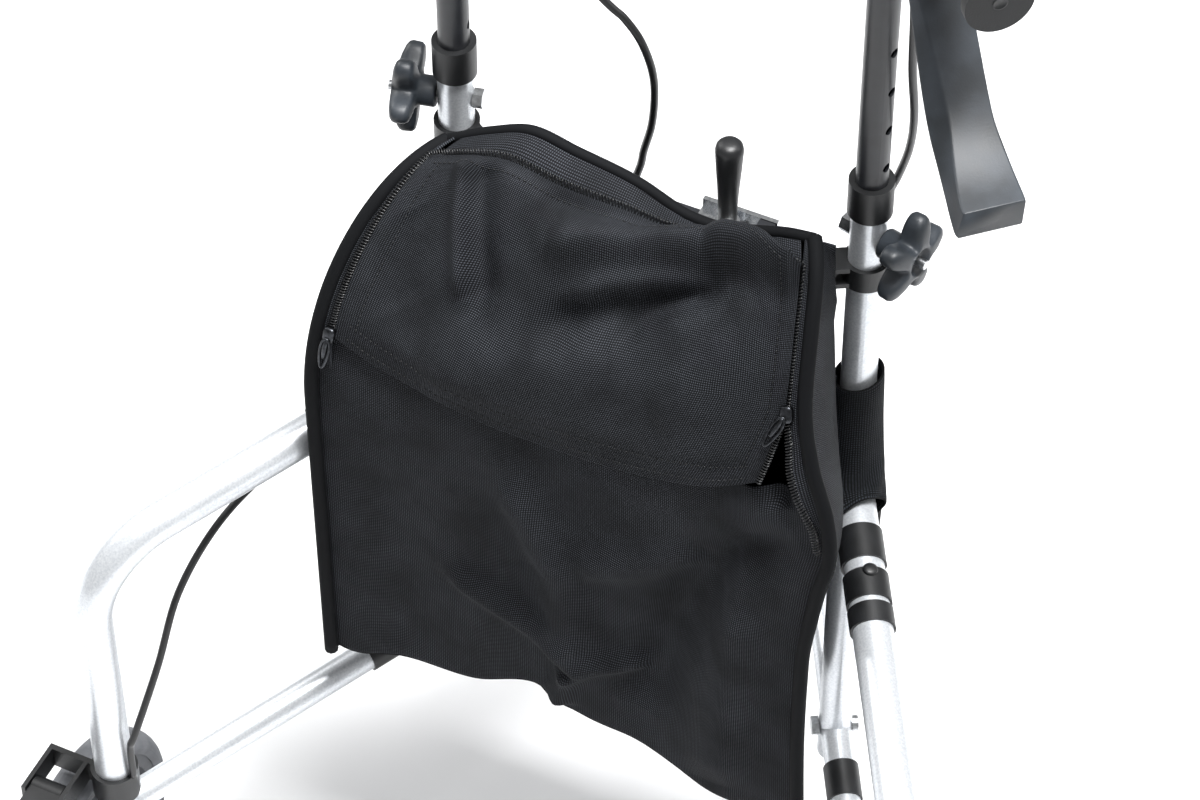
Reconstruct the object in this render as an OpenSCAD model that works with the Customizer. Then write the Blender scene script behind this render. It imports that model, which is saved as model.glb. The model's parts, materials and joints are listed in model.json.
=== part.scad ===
// Three wheel rollator with a zipped bag, standing open on its wheels.
// Millimetres, +Z up, +Y the way it travels, +X to the user's right.
// The origin is on the floor, under the middle of the walker.

/* [Side frame] */
// Angle of each side frame from straight ahead when open
open_angle = 30; // [26:1:34]
// Half the distance between the two front hinge pins
hinge_half = 22; // [21:0.5:26]
// Front hinge pin to upright, along the side frame
upright_run = 224; // [210:2:240]
// Upright to rear leg, along the side frame
leg_run = 282; // [260:2:310]
// Height of the arch tube where it meets the upright
arch_z = 445; // [430:1:460]
// Height of the lower tube where it meets the upright
lower_z = 193; // [185:1:205]
// Angle at which the arch and lower tubes fall towards the rear
fall_angle = 6; // [3:0.5:7]
// Centre line radius of the bend from arch to leg
arch_bend = 62; // [50:1:75]
// Height of the upper front strut where it meets the upright
upper_strut_z = 415; // [408:1:422]

/* [Tubes] */
// Outside diameter of the arch and leg tube
arch_od = 25.4; // [24:0.2:27]
// Outside diameter of the upright
upright_od = 22.2; // [22:0.1:24]
// Outside diameter of the lower tube and the front struts
lower_od = 20.6; // [18:0.2:21]
// Bore of the upright, which the handle tube slides in
upright_bore = 19.4; // [19.2:0.1:19.8]
// Outside diameter of the handle tube
handle_od = 19.2; // [18.6:0.1:19.2]
// Wall of every tube
tube_wall = 1.4; // [1.2:0.1:2]

/* [Handles] */
// Height of the collar's lower edge
collar_z = 684; // [675:1:700]
// Height of the collar ring
collar_h = 25; // [20:1:30]
// Height of the grip's centre line
grip_z = 980; // [965:1:990]
// Turn of the grip outwards from the plane of the side frame
grip_turn = 13; // [8:1:20]
// Reach of the grip's end from the handle tube's centre line
grip_reach = 150; // [140:1:160]
// Centre line radius of the handle tube's bend
grip_bend = 38; // [34:1:42]
// Diameter of the rubber grip
grip_od = 31; // [29:0.5:33]
// Diameter of the disc at the end of the grip
grip_flange_od = 38; // [34:0.5:42]
// Distance between the height holes in the handle tube
hole_pitch = 30; // [30:1:32]
// Length of the brake lever's blade
lever_len = 172; // [160:1:180]
// Width of the brake lever's blade
lever_w = 30; // [26:1:32]
// Fall of the brake lever below the grip
lever_fall = 39; // [34:1:44]

/* [Clamp knob] */
// Turn of the clamp bolt from square to the side frame, towards the rear
clamp_turn = 43; // [38:1:48]
// Distance of the knob from the upright
knob_gap = 3.5; // [3:0.5:4]
// Diameter over the knob's lobes
knob_od = 58; // [52:1:62]
// Thickness of the knob's lobes
knob_t = 15; // [12:1:18]
// Diameter of the clamp bolt
bolt_d = 6; // [5:0.5:7]
// Drop of the clamp bolt below the collar
bolt_drop = 20; // [16:0.5:22]

/* [Wheels] */
// Diameter of each wheel over its tyre
wheel_od = 180; // [176:2:190]
// Width of the tyre
tyre_w = 28; // [24:1:30]
// Depth of the tyre's rubber
tyre_t = 15; // [12:0.5:18]
// Width of the wheel's hub
hub_w = 34; // [32:1:36]
// Diameter of the wheel's hub
hub_od = 34; // [30:1:40]
// Diameter of the axles
axle_d = 10; // [8:0.5:12]
// Distance of the rear wheel's middle outside the leg
wheel_out = 33; // [33:0.5:36]
// Distance of the front axle behind the swivel
caster_trail = 30; // [22:1:36]

/* [Front stem] */
// Outside diameter of the head tube
head_od = 34; // [32:0.5:38]
// Distance of the head tube ahead of the hinge pins
head_ahead = 32; // [30:1:36]
// Height of the lower hinge plate's underside
yoke_low_z = 222; // [218:1:228]
// Height of the upper hinge plate's top face
yoke_top_z = 361; // [356:1:372]
// Thickness of the hinge plates
yoke_t = 6; // [5:0.5:8]
// Diameter of the hinge pins
hinge_pin_d = 12; // [10:0.5:12]
// Outside diameter of the hinge posts
post_od = 22.2; // [20:0.2:24]

/* [Folding brace] */
// Drop of the brace below the collar
brace_drop = 48; // [46:0.5:50]
// Width of the brace's flat bars
brace_w = 18; // [16:1:22]
// Thickness of the brace's flat bars
brace_t = 4; // [3:0.5:5]
// Distance of the brace's end pivot inside the upright
brace_in = 24; // [23:0.5:26]
// Distance of the latch from the middle of the brace
latch_at = 54; // [50:1:58]

/* [Bag] */
// Depth of the bag's rear panel behind the uprights
bag_rear = 120; // [110:1:130]
// Depth of the bag's front panel ahead of the uprights
bag_front = 32; // [24:1:36]
// Drop of the bag's top below the collar
bag_top_drop = 32; // [28:1:38]
// Height of the bag's upright front edge, behind the brace
bag_edge = 28; // [26:1:32]
// Drop of the front panel's top below the collar
bag_front_drop = 118; // [112:1:124]
// Drop of the bag's bottom below the collar
bag_low_drop = 440; // [420:1:450]
// Drop of the lid's hem below the collar
bag_hem_drop = 168; // [150:1:180]
// Drop of the zip sliders below the collar
slider_drop = 124; // [115:1:135]
// Distance of the bag's sides inside the side frames
bag_in = 22; // [20:0.5:26]
// Thickness of the bag's fabric and lining
bag_wall = 3; // [2:0.5:4]

/* [Cables] */
// Diameter of the brake cables
cable_d = 5; // [4:0.5:5]

/* [Hidden] */
$fn = 64;
// Clearance of a turning fit, on the radius
run_gap = 0.05;
// Lap between the stretches of one bent tube
lap = 0.05;
// Clearance between parts that pass close by
pass_gap = 0.4;
// Gap between a soft piece and its seat
seat_gap = 0.3;
leg_u = upright_run + leg_run;
tube_fall = tan(fall_angle);
upright_y = hinge_y() - upright_run * cos(open_angle);
upright_x = hinge_half + upright_run * sin(open_angle);
axle_z = wheel_od / 2;
bolt_z = collar_z - bolt_drop;
leg_low_z = axle_z - 16;
collar_od = upright_od + 4.8;
lower_leg_z = lower_z - tube_fall * leg_run;
bend_u = leg_u - arch_bend;
bend_z = arch_z - tube_fall * (bend_u + arch_bend * sin(fall_angle) - upright_run)
    - arch_bend * cos(fall_angle);
head_y = hinge_y() + head_ahead;
post_low = yoke_low_z + yoke_t + pass_gap;
post_top = yoke_top_z - yoke_t - pass_gap;
lower_strut_z = post_low + lower_od / 2 + 5;
top_strut_z = post_top - lower_od / 2 - 5;
fork_crown_z = wheel_od + 8;
fork_crown_t = 8;
head_low_z = fork_crown_z + fork_crown_t + 0.3;
fork_gap = hub_w + 2;
fork_t = 5;
hole_r = bolt_d / 2 + 0.1;
rim_od = wheel_od - 2 * tyre_t;
lever_pivot_at = 34;
lever_pivot_drop = 26;
lever_pin_d = 5;
brake_pivot_back = 30;
brake_pivot_up = 106;
brake_pin_d = 6;
shoe_gap = 3;
link_len = upright_x - brace_in * cos(open_angle);
brace_z = collar_z - brace_drop;
hem_z = collar_z - bag_hem_drop;

// The front wheel and the rear wheels reach equally far from the origin
function hinge_y() = ((leg_run + upright_run) * cos(open_angle) - head_ahead + caster_trail) / 2;

// Places a side frame, with X along the frame from the hinge pin and Y outwards
module right_side() translate([hinge_half, hinge_y(), 0]) rotate([0, 0, open_angle - 90]) children();
module left_side() mirror([1, 0, 0]) right_side() children();
module side_of(name) if (name[0] == "l") left_side() children(); else right_side() children();
// Turns a piece at the upright so that X runs along the grip
module at_handle() translate([upright_run, 0, 0]) rotate([0, 0, grip_turn]) children();
// Puts a piece at the rear leg, with X along the rear axle and Y straight ahead
module at_leg() translate([leg_u, 0, 0]) rotate([0, 0, 90 - open_angle]) children();
module tube(od, id, h) difference() {
    cylinder(d = od, h = h);
    translate([0, 0, -1]) cylinder(d = id, h = h + 2);
}
// A rod that lies along X
module rod_x(d, from, to) translate([from, 0, 0]) rotate([0, 90, 0]) cylinder(d = d, h = to - from);
// A rod that lies along Y
module rod_y(d, from, to) translate([0, from, 0]) rotate([-90, 0, 0]) cylinder(d = d, h = to - from);
// A hexagon head on a rod along Y
module hex_y(across, from, to) translate([0, from, 0]) rotate([-90, 0, 0])
    cylinder(d = across / cos(30), h = to - from, $fn = 6);

// Front stem

module yoke_plate() {
    for (x = [-hinge_half, hinge_half]) translate([x, hinge_y(), 0]) cylinder(d = post_od + 4, h = yoke_t);
    linear_extrude(yoke_t) polygon([
        [-hinge_half - post_od / 2 - 2, hinge_y()], [-head_od / 2, head_y],
        [head_od / 2, head_y], [hinge_half + post_od / 2 + 2, hinge_y()],
        [hinge_half, hinge_y() - post_od / 2 - 2], [-hinge_half, hinge_y() - post_od / 2 - 2]]);
}
module front_stem() color("silver") difference() {
    union() {
        translate([0, head_y, head_low_z]) cylinder(d = head_od, h = yoke_top_z - head_low_z);
        translate([0, 0, yoke_low_z]) yoke_plate();
        translate([0, 0, yoke_top_z - yoke_t]) yoke_plate();
    }
    translate([0, head_y, head_low_z - 1]) cylinder(d = head_od - 6, h = yoke_top_z - head_low_z + 2);
    for (x = [-hinge_half, hinge_half]) translate([x, hinge_y(), yoke_low_z - 1])
        cylinder(d = hinge_pin_d, h = yoke_top_z - yoke_low_z + 2);
}
module hinge_pins() color("dimgray") for (x = [-hinge_half, hinge_half]) translate([x, hinge_y(), 0]) {
    translate([0, 0, yoke_low_z]) cylinder(d = hinge_pin_d, h = yoke_top_z - yoke_low_z);
    translate([0, 0, yoke_top_z]) cylinder(d = hinge_pin_d + 6, h = 4);
    translate([0, 0, yoke_low_z - 3]) cylinder(d = hinge_pin_d + 6, h = 3);
}
bush_h = 14;
cap_h = 13;
module head_bushes() color("dimgray") for (z = [head_low_z, yoke_top_z - bush_h])
    translate([0, head_y, z]) tube(head_od - 6, axle_d + 6 + 2 * run_gap, bush_h);
module stem_cap() color("black") translate([0, head_y, yoke_top_z]) difference() {
    cylinder(d = head_od, h = cap_h);
    translate([0, 0, -1]) cylinder(d = head_od - 4, h = cap_h - 2);
}

// Front caster

module front_fork() color("silver") translate([0, head_y, 0]) {
    difference() {
        union() {
            translate([0, 0, fork_crown_z]) cylinder(d = axle_d + 6, h = yoke_top_z + 6 - fork_crown_z);
            translate([0, 0, fork_crown_z]) cylinder(d = fork_gap, h = fork_crown_t);
            translate([-fork_gap / 2 - fork_t, -caster_trail - 14, fork_crown_z])
                cube([fork_gap + 2 * fork_t, caster_trail + 28, fork_crown_t]);
            for (x = [-fork_gap / 2 - fork_t, fork_gap / 2]) translate([x, 0, 0]) fork_blade();
        }
        translate([0, -caster_trail, axle_z]) rod_x(axle_d, -fork_gap, fork_gap);
    }
}
module fork_blade() rotate([90, 0, 90]) linear_extrude(fork_t) polygon([
    [14, fork_crown_z + fork_crown_t], [14, fork_crown_z - 20], [-caster_trail + 13, axle_z - 8],
    [-caster_trail + 7, axle_z - 15], [-caster_trail - 7, axle_z - 15], [-caster_trail - 13, axle_z - 8],
    [-caster_trail - 14, fork_crown_z + fork_crown_t]]);
module fork_nut() color("dimgray") translate([0, head_y, yoke_top_z + 0.3]) difference() {
    cylinder(d = 24 / cos(30), h = 8, $fn = 6);
    translate([0, 0, -1]) cylinder(d = axle_d + 6, h = 12);
}
module at_front_axle() translate([0, head_y - caster_trail, axle_z]) children();
module front_rim() at_front_axle() rim();
module front_tyre() at_front_axle() tyre();
module front_axle() color("dimgray") at_front_axle() {
    rod_x(axle_d, -fork_gap / 2 - fork_t - 4, fork_gap / 2 + fork_t + 4);
    for (x = [-fork_gap / 2 - fork_t - 6, fork_gap / 2 + fork_t]) rod_x(axle_d + 7, x, x + 6);
}

// Wheels, with the axle along X

spokes = 5;
module rim() color("dimgray") rotate([0, 90, 0]) difference() {
    union() {
        translate([0, 0, -hub_w / 2]) cylinder(d = hub_od, h = hub_w);
        translate([0, 0, -tyre_w / 2 + 3]) tube(rim_od, rim_od - 16, tyre_w - 6);
        for (i = [0 : spokes - 1]) rotate([0, 0, i * 360 / spokes])
            translate([hub_od / 2 - 4, -9, -6]) cube([rim_od / 2 - hub_od / 2, 18, 12]);
    }
    translate([0, 0, -hub_w]) cylinder(d = axle_d + 2 * run_gap, h = 2 * hub_w);
}
module tyre() color("gray") rotate([0, 90, 0]) rotate_extrude() polygon(concat(
    [[rim_od / 2, -tyre_w / 2 + 2], [rim_od / 2, tyre_w / 2 - 2]],
    [for (a = [90 : -15 : -90]) [
        wheel_od / 2 - tyre_shoulder + tyre_shoulder * cos(a), (tyre_w / 2) * sin(a)]]));
tyre_shoulder = 10;

// Side frame tubes

module upright() color("silver") translate([upright_run, 0, 0]) difference() {
    translate([0, 0, upright_low_z]) cylinder(d = upright_od, h = collar_z + collar_h - 6 - upright_low_z);
    translate([0, 0, upright_low_z + 20]) cylinder(d = upright_bore, h = collar_z);
    translate([0, 0, bolt_z]) rotate([0, 0, -clamp_turn]) rod_y(2 * hole_r, -upright_od, upright_od);
    translate([0, 0, lower_z]) rod_y(bolt_d, -upright_od, upright_od);
}
upright_low_z = lower_z - 26;
// A fine weld seam runs round the tube where the arch turns down
seam_t = 0.1;
seam_w = 2;
module arch_run(d) translate([bend_u, 0, bend_z]) {
    run = (bend_u + arch_bend * sin(fall_angle) - upright_run) / cos(fall_angle);
    rotate([0, fall_angle, 0]) translate([0, 0, arch_bend]) {
        rod_x(d, -run, 0);
        rod_x(d + 2 * seam_t, -seam_w / 2, seam_w / 2);
    }
    rotate([90, 0, 0]) rotate_extrude(angle = 90 - fall_angle) translate([arch_bend, 0]) circle(d = d);
    translate([arch_bend, 0, leg_low_z - bend_z]) cylinder(d = d, h = bend_z - leg_low_z);
}
module arch_tube() color("silver") difference() {
    arch_run(arch_od);
    difference() {
        arch_run(arch_od - 2 * tube_wall);
        translate([leg_u, 0, leg_low_z - 1]) cylinder(d = arch_od, h = axle_z + axle_d - leg_low_z);
    }
    translate([upright_run, 0, arch_z - 60]) cylinder(d = upright_od, h = 120);
    at_leg() translate([0, 0, axle_z]) rod_x(axle_d, -arch_od, arch_od);
    translate([leg_u, 0, lower_leg_z]) rod_y(bolt_d, -arch_od, arch_od);
}
module lower_tube() color("silver") difference() {
    translate([upright_run, 0, lower_z]) rotate([0, 90 + fall_angle, 0])
        tube(lower_od, lower_od - 2 * tube_wall, leg_run / cos(fall_angle));
    translate([upright_run, 0, lower_z - 60]) cylinder(d = upright_od, h = 120);
    translate([leg_u, 0, lower_leg_z - 60]) cylinder(d = arch_od, h = 120);
}
// The hinge post with the two struts that tie it to the upright
module strut(z_post, z_upright) {
    rise = z_upright - z_post;
    translate([0, 0, z_post]) rotate([0, 90 - atan(rise / upright_run), 0])
        cylinder(d = lower_od, h = norm([rise, upright_run]));
}
module hinge_post() color("silver") difference() {
    union() {
        translate([0, 0, post_low]) cylinder(d = post_od, h = post_top - post_low);
        strut(top_strut_z, upper_strut_z);
        strut(lower_strut_z, lower_z + 14);
    }
    translate([0, 0, post_low - 1]) cylinder(d = hinge_pin_d + 2 * run_gap, h = post_top - post_low + 2);
    translate([upright_run, 0, lower_z - 60]) cylinder(d = upright_od, h = upper_strut_z);
}
module collar() color("black") translate([upright_run, 0, collar_z]) difference() {
    cylinder(d = collar_od, h = collar_h);
    translate([0, 0, -1]) cylinder(d = upright_od, h = collar_h - 6 + 1);
    translate([0, 0, -1]) cylinder(d = upright_bore, h = collar_h + 2);
}
module frame_bolts() color("dimgray") {
    translate([upright_run, 0, lower_z]) cross_bolt(upright_od);
    translate([leg_u, 0, lower_leg_z]) cross_bolt(arch_od);
}
module cross_bolt(od) {
    rod_y(bolt_d, -od / 2 - 4, od / 2 + 2);
    hex_y(bolt_d + 6, -od / 2 - 5, -od / 2);
    rod_y(bolt_d + 5, od / 2, od / 2 + 4);
}

// Black bands that hold the brake cable to the tubes
module tube_band(at, z0, od, width) translate([upright_run + at, 0, z0 - tube_fall * at])
    rotate([0, 90 + fall_angle, 0]) tube(od + 3, od, width);
module cable_bands() color("black") {
    for (b = [[42, 24], [74, 20], [98, 14]]) tube_band(b[0], arch_z, arch_od, b[1]);
    for (b = [[33, 26], [66, 22]]) tube_band(b[0], lower_z, lower_od, b[1]);
}
strap_h = 84;
strap_up = 14;
strap_w = 12;
strap_t = 2;
// A sleeve of webbing round the upright, with the tongue that is sewn to the bag's side
module bag_strap() color("black") translate([upright_run, 0, arch_z + strap_up]) {
    tube(upright_od + 2 * strap_t, upright_od, strap_h);
    translate([-strap_w / 2, -bag_in + seat_gap, 0])
        cube([strap_w, bag_in - seat_gap - upright_od / 2 - strap_t / 2, strap_h]);
}

// Clamp knob and bolt

module at_clamp() translate([upright_run, 0, bolt_z]) rotate([0, 0, -clamp_turn]) children();
module clamp_bolt() color("dimgray") at_clamp() {
    rod_y(bolt_d, -upright_od / 2 - 6, upright_od / 2 + knob_gap + 11.5 + knob_t);
    hex_y(bolt_d + 5, -upright_od / 2 - 6, -upright_od / 2);
}
lobes = 5;
module at_knob() at_clamp() translate([0, upright_od / 2 + knob_gap, 0]) rotate([-90, 0, 0]) children();
module knob() color("black") at_knob() difference() {
    union() {
        cylinder(d = 19, h = 10);
        translate([0, 0, 8]) difference() {
            cylinder(d = knob_od, h = knob_t);
            for (i = [0 : lobes - 1]) rotate([0, 0, (i + 0.5) * 360 / lobes])
                translate([knob_od * 0.56, 0, -1]) cylinder(d = knob_od * 0.48, h = knob_t + 2);
        }
    }
    translate([0, 0, -1]) cylinder(d = bolt_d + 2 * run_gap, h = knob_t + 20);
    translate([0, 0, 8 + knob_t - 4]) cylinder(d = bolt_d + 8, h = 5);
}

// Handle, grip and brake lever

handle_low_z = bolt_z - hole_pitch - 15;
height_holes = 7;
module handle_run(d) {
    translate([0, 0, handle_low_z]) cylinder(d = d, h = grip_z - grip_bend - handle_low_z);
    translate([grip_bend, 0, grip_z - grip_bend]) rotate([90, 0, 0]) rotate([0, 0, 90])
        rotate_extrude(angle = 90) translate([grip_bend, 0]) circle(d = d);
    translate([grip_bend, 0, grip_z]) rod_x(d, 0, grip_reach - grip_bend - 4);
}
module handle_tube() color("black") difference() {
    at_handle() difference() {
        handle_run(handle_od);
        handle_run(handle_od - 2 * tube_wall);
    }
    for (i = [-1 : height_holes - 2]) at_clamp() translate([0, 0, i * hole_pitch])
        rod_y(2 * hole_r, -handle_od, handle_od);
}
module grip() color("black") at_handle() translate([0, 0, grip_z]) difference() {
    union() {
        rod_x(grip_od, grip_bend + 20, grip_reach);
        rod_x(grip_flange_od, grip_reach - 6, grip_reach);
        rod_x(grip_flange_od - 3, grip_bend + 18, grip_bend + 24);
    }
    rod_x(handle_od, 0, grip_reach - 4);
}
mount_len = 16;
module lever_mount() color("black") at_handle() translate([0, 0, grip_z]) difference() {
    union() {
        rod_x(handle_od + 8, grip_bend, grip_bend + mount_len);
        translate([lever_pivot_at - 9, -8, -lever_pivot_drop - 7])
            cube([18 + mount_len - 6, 16, lever_pivot_drop - 4]);
    }
    rod_x(handle_od, 0, grip_reach);
    translate([0, 0, -grip_bend]) handle_corner();
    translate([lever_pivot_at, 0, -lever_pivot_drop]) rod_y(lever_pin_d, -20, 20);
}
// Room around the handle tube's bend
module handle_corner() translate([grip_bend, 0, 0]) rotate([90, 0, 0]) rotate([0, 0, 90])
    rotate_extrude(angle = 90) translate([grip_bend, 0]) circle(d = handle_od + 1);
cheek_t = 4;
module brake_lever() color("black") at_handle() translate([lever_pivot_at, 0, grip_z - lever_pivot_drop])
    difference() {
        union() {
            rod_y(lever_pin_d - 2 * run_gap, -8 - cheek_t, 8 + cheek_t);
            for (y = [-8 - pass_gap - cheek_t, 8 + pass_gap]) translate([0, y, 0]) rotate([0, lever_fall, 0]) {
                rotate([-90, 0, 0]) cylinder(d = 16, h = cheek_t);
                translate([0, 0, -8]) cube([46, cheek_t, 12]);
            }
            rotate([0, lever_fall, 0]) lever_blade();
        }
    }
module lever_blade() rotate([-90, 0, 0]) translate([0, 0, -lever_w / 2]) linear_extrude(lever_w) polygon([
    [40, 8], [40, -4], [lever_len - 40, -3], [lever_len - 8, 0], [lever_len, 4], [lever_len, 18],
    [lever_len - 7, 18], [lever_len - 9, 9], [lever_len - 40, 5]]);

// Folding brace

module brace_bracket() color("dimgray") translate([upright_run, 0, brace_z]) {
    difference() {
        union() {
            translate([0, 0, -ear_gap - ear_t]) cylinder(d = upright_od + 6, h = 2 * ear_gap + 2 * ear_t);
            for (z = [-ear_gap - ear_t, ear_gap]) translate([-ear_r, -brace_in, z]) {
                cube([2 * ear_r, brace_in, ear_t]);
                translate([ear_r, 0, 0]) cylinder(r = ear_r, h = ear_t);
            }
        }
        translate([0, 0, -20]) cylinder(d = upright_od, h = 40);
    }
    translate([0, -brace_in, -ear_gap - lap]) cylinder(d = bolt_d, h = 2 * ear_gap + 2 * lap);
}
ear_t = 3.5;
ear_r = 9;
ear_gap = brace_t + pass_gap / 2 + pass_gap;
// A link of the brace, drawn straight across towards the middle of the walker
module brace_link(side) color("silver") translate([side * link_len, brace_pivot_y, brace_z + link_step(side)])
    mirror([side < 0 ? 0 : 1, 0, 0]) difference() {
        union() {
            translate([0, -brace_w / 2, -brace_t / 2]) cube([link_len, brace_w, brace_t]);
            translate([0, 0, -brace_t / 2]) cylinder(d = brace_w, h = brace_t);
            translate([link_len, 0, -brace_t / 2]) cylinder(d = brace_w, h = brace_t);
        }
        translate([0, 0, -brace_t]) cylinder(d = bolt_d + 2 * run_gap, h = 2 * brace_t);
        translate([link_len, 0, -brace_t]) cylinder(d = bolt_d + 4, h = 2 * brace_t);
    }
// The lug on the right link that carries the latch's pin
module latch_lug() color("silver") at_latch() translate([latch_pin_at, 0, 0]) difference() {
    translate([-5, -brace_w / 2, -pass_gap]) cube([10, brace_w, latch_pin_up + 5]);
    translate([0, 0, latch_pin_up]) rod_y(latch_pin_d + 2 * run_gap, -brace_w, brace_w);
}
module right_brace_link() {
    brace_link(1);
    latch_lug();
}
latch_pin_at = 18;
latch_pin_up = 4;
latch_pin_d = 4;
brace_pivot_y = upright_y - brace_in * sin(open_angle);
// The left link lies under the right one where they cross
function link_step(side) = side < 0 ? -brace_t / 2 - pass_gap / 2 : brace_t / 2 + pass_gap / 2;

latch_len = 48;
latch_z = brace_z + brace_t + pass_gap / 2 + pass_gap;
module at_latch() translate([latch_at, brace_pivot_y, latch_z]) children();
module latch_plate() color("silver") at_latch() difference() {
    union() {
        translate([-latch_len / 2, -brace_w / 2 - 1, 0])
            cube([latch_len / 2 + latch_pin_at - 7, brace_w + 2, 3]);
        for (y = [-brace_w / 2 - 3.4, brace_w / 2 + 0.4]) translate([-latch_len / 2, y, -brace_t + 1])
            cube([latch_len, 3, brace_t + 8]);
        translate([latch_pin_at, 0, latch_pin_up]) rod_y(latch_pin_d, -brace_w / 2 - 1, brace_w / 2 + 1);
        translate([-4, 0, 3]) cylinder(d = 15, h = 5);
    }
    translate([-4, 0, -1]) cylinder(d = 6, h = 12);
}
latch_handle_h = 62;
module latch_handle() color("black") at_latch() {
    translate([-4, 0, 8]) cylinder(d1 = 11, d2 = 17, h = latch_handle_h);
    translate([-4, 0, 8 + latch_handle_h]) cylinder(d1 = 17, d2 = 14, h = 3);
    translate([-4, 0, 0]) cylinder(d = 6, h = 8 + lap);
}

// Rear axle and brake

module rear_axle() color("dimgray") at_leg() translate([0, 0, axle_z]) {
    rod_x(axle_d, -arch_od / 2 - 6, wheel_out + hub_w / 2 + 6);
    rod_x(axle_d + 8, -arch_od / 2 - 6, -arch_od / 2);
    rod_x(axle_d + 6, arch_od / 2, wheel_out - hub_w / 2 - 0.3);
    rod_x(axle_d + 6, wheel_out + hub_w / 2 + 0.3, wheel_out + hub_w / 2 + 6);
}
module at_rear_axle() at_leg() translate([wheel_out, 0, axle_z]) children();
module rear_rim() at_rear_axle() rim();
module rear_tyre() at_rear_axle() tyre();
module at_brake() at_leg() translate([wheel_out, -brake_pivot_back, axle_z + brake_pivot_up]) children();
brake_cheek = 3;
brake_half = 12;
module brake_bracket() color("dimgray") difference() {
    union() {
        at_leg() translate([0, 0, axle_z + brake_pivot_up - 12]) cylinder(d = arch_od + 6, h = 24);
        at_brake() for (x = [-brake_half - brake_cheek, brake_half]) translate([x, -9, -9])
            cube([brake_cheek, brake_pivot_back + 9, 18]);
        at_brake() translate([-wheel_out, brake_pivot_back - 4, -9])
            cube([wheel_out + brake_half + brake_cheek, 4, 18]);
    }
    at_leg() translate([0, 0, axle_z]) cylinder(d = arch_od, h = brake_pivot_up + 40);
    at_brake() rod_x(brake_pin_d, -brake_half - 8, brake_half + 8);
}
module brake_arm() color("dimgray") difference() {
    at_brake() {
        rod_x(brake_pin_d - 2 * run_gap, -brake_half - brake_cheek, brake_half + brake_cheek);
        rod_x(16, -brake_half + 1, brake_half - 1);
        translate([-brake_half + 1, -58, -5]) cube([2 * brake_half - 2, 58, 12]);
        translate([-brake_half + 1, -38, -50]) cube([2 * brake_half - 2, 26, 48]);
    }
    at_leg() translate([wheel_out, 0, axle_z]) rod_x(wheel_od + 2 * shoe_gap, -40, 40);
}

// Brake cable, swept along hand-picked points

// Each point is along the side frame from its hinge, outwards from the frame, and up.
// From the arch tube on, both sides run alike to the rear brake.
arch_route = [
    [upright_run, 17, arch_z - 17], [upright_run + 18, 14, arch_z - 24],
    [upright_run + 36, 9, arch_z - 23.5], [upright_run + 70, 8, arch_z - 26.5],
    [upright_run + 108, 7, arch_z - 30], [upright_run + 150, 5, arch_z - 37],
    [upright_run + 190, 0, arch_z - 56], [upright_run + 224, -6, arch_z - 92],
    [upright_run + 248, -14, arch_z - 140],
    [leg_u - 10, -18, arch_z - 190], [leg_u - 6, -16, axle_z + 150],
    [leg_u - 6, -15, axle_z + brake_pivot_up + 12.3]];
cable_start = [upright_run + 24, 11, grip_z - lever_pivot_drop - 7.7];
// The right cable passes in front of its upright and on under the arch tube
right_route = concat([
    cable_start, [upright_run + 26, 10, grip_z - 66], [upright_run + 29, 12, grip_z - 116],
    [upright_run + 20, 15, collar_z + 130], [upright_run + 8, 20, collar_z + 84],
    [upright_run - 8, 22, collar_z + 42], [upright_run - 22, 19, collar_z + 4],
    [upright_run - 31, 10, collar_z - 38], [upright_run - 24, 5, collar_z - 82],
    [upright_run - 18, 4, arch_z + 106], [upright_run - 17.5, 4, arch_z + 60],
    [upright_run - 17.5, 6, arch_z + 14], [upright_run - 14, 12, arch_z - 6]], arch_route);
// The left cable swings in a free loop in front of the bag before it comes back to its frame
left_route = concat([
    cable_start, [upright_run + 26, 4, grip_z - 66], [upright_run + 22, -12, grip_z - 92],
    [upright_run + 6, -28, grip_z - 118], [upright_run - 34, -47, grip_z - 172],
    [upright_run - 58, -73, collar_z + 82], [upright_run - 66, -82, collar_z + 70],
    [upright_run - 73, -90, collar_z + 52], [upright_run - 79, -93, collar_z + 23],
    [upright_run - 82, -88, collar_z - 16], [upright_run - 83, -78, collar_z - 50],
    [upright_run - 84, -72, collar_z - 71], [upright_run - 83, -56, collar_z - 114],
    [upright_run - 74, -36, arch_z + 83], [upright_run - 56, -14, arch_z + 46],
    [upright_run - 34, 2, arch_z + 16], [upright_run - 15, 12, arch_z - 6]], arch_route);
cable_steps = 4;
cable_sides = 8;
function spline(p, i, t) = let (
    a = p[max(i - 1, 0)], b = p[i], c = p[i + 1], d = p[min(i + 2, len(p) - 1)])
    0.5 * (2 * b + t * (c - a) + t * t * (2 * a - 5 * b + 4 * c - d) + t * t * t * (3 * b - a - 3 * c + d));
function smooth(p, steps) = concat(
    [for (i = [0 : len(p) - 2], k = [0 : steps - 1]) spline(p, i, k / steps)], [p[len(p) - 1]]);
function unit(v) = v / norm(v);
function along(p, i) = unit(p[min(i + 1, len(p) - 1)] - p[max(i - 1, 0)]);
module sweep(points, d) {
    n = len(points);
    rings = [for (i = [0 : n - 1]) let (
        t = along(points, i),
        side = unit(cross(t, abs(t[2]) > 0.9 ? [0.96, 0.28, 0] : [0, 0, 1])),
        up = cross(side, t))
        for (k = [0 : cable_sides - 1]) let (a = 360 * k / cable_sides)
            points[i] + d / 2 * (cos(a) * side + sin(a) * up)];
    m = cable_sides;
    polyhedron(rings, concat(
        [[for (k = [m - 1 : -1 : 0]) k]],
        [[for (k = [0 : m - 1]) (n - 1) * m + k]],
        [for (i = [0 : n - 2], k = [0 : m - 1]) each [
            [i * m + k, i * m + (k + 1) % m, (i + 1) * m + k],
            [(i + 1) * m + k, i * m + (k + 1) % m, (i + 1) * m + (k + 1) % m]]]));
}
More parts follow.
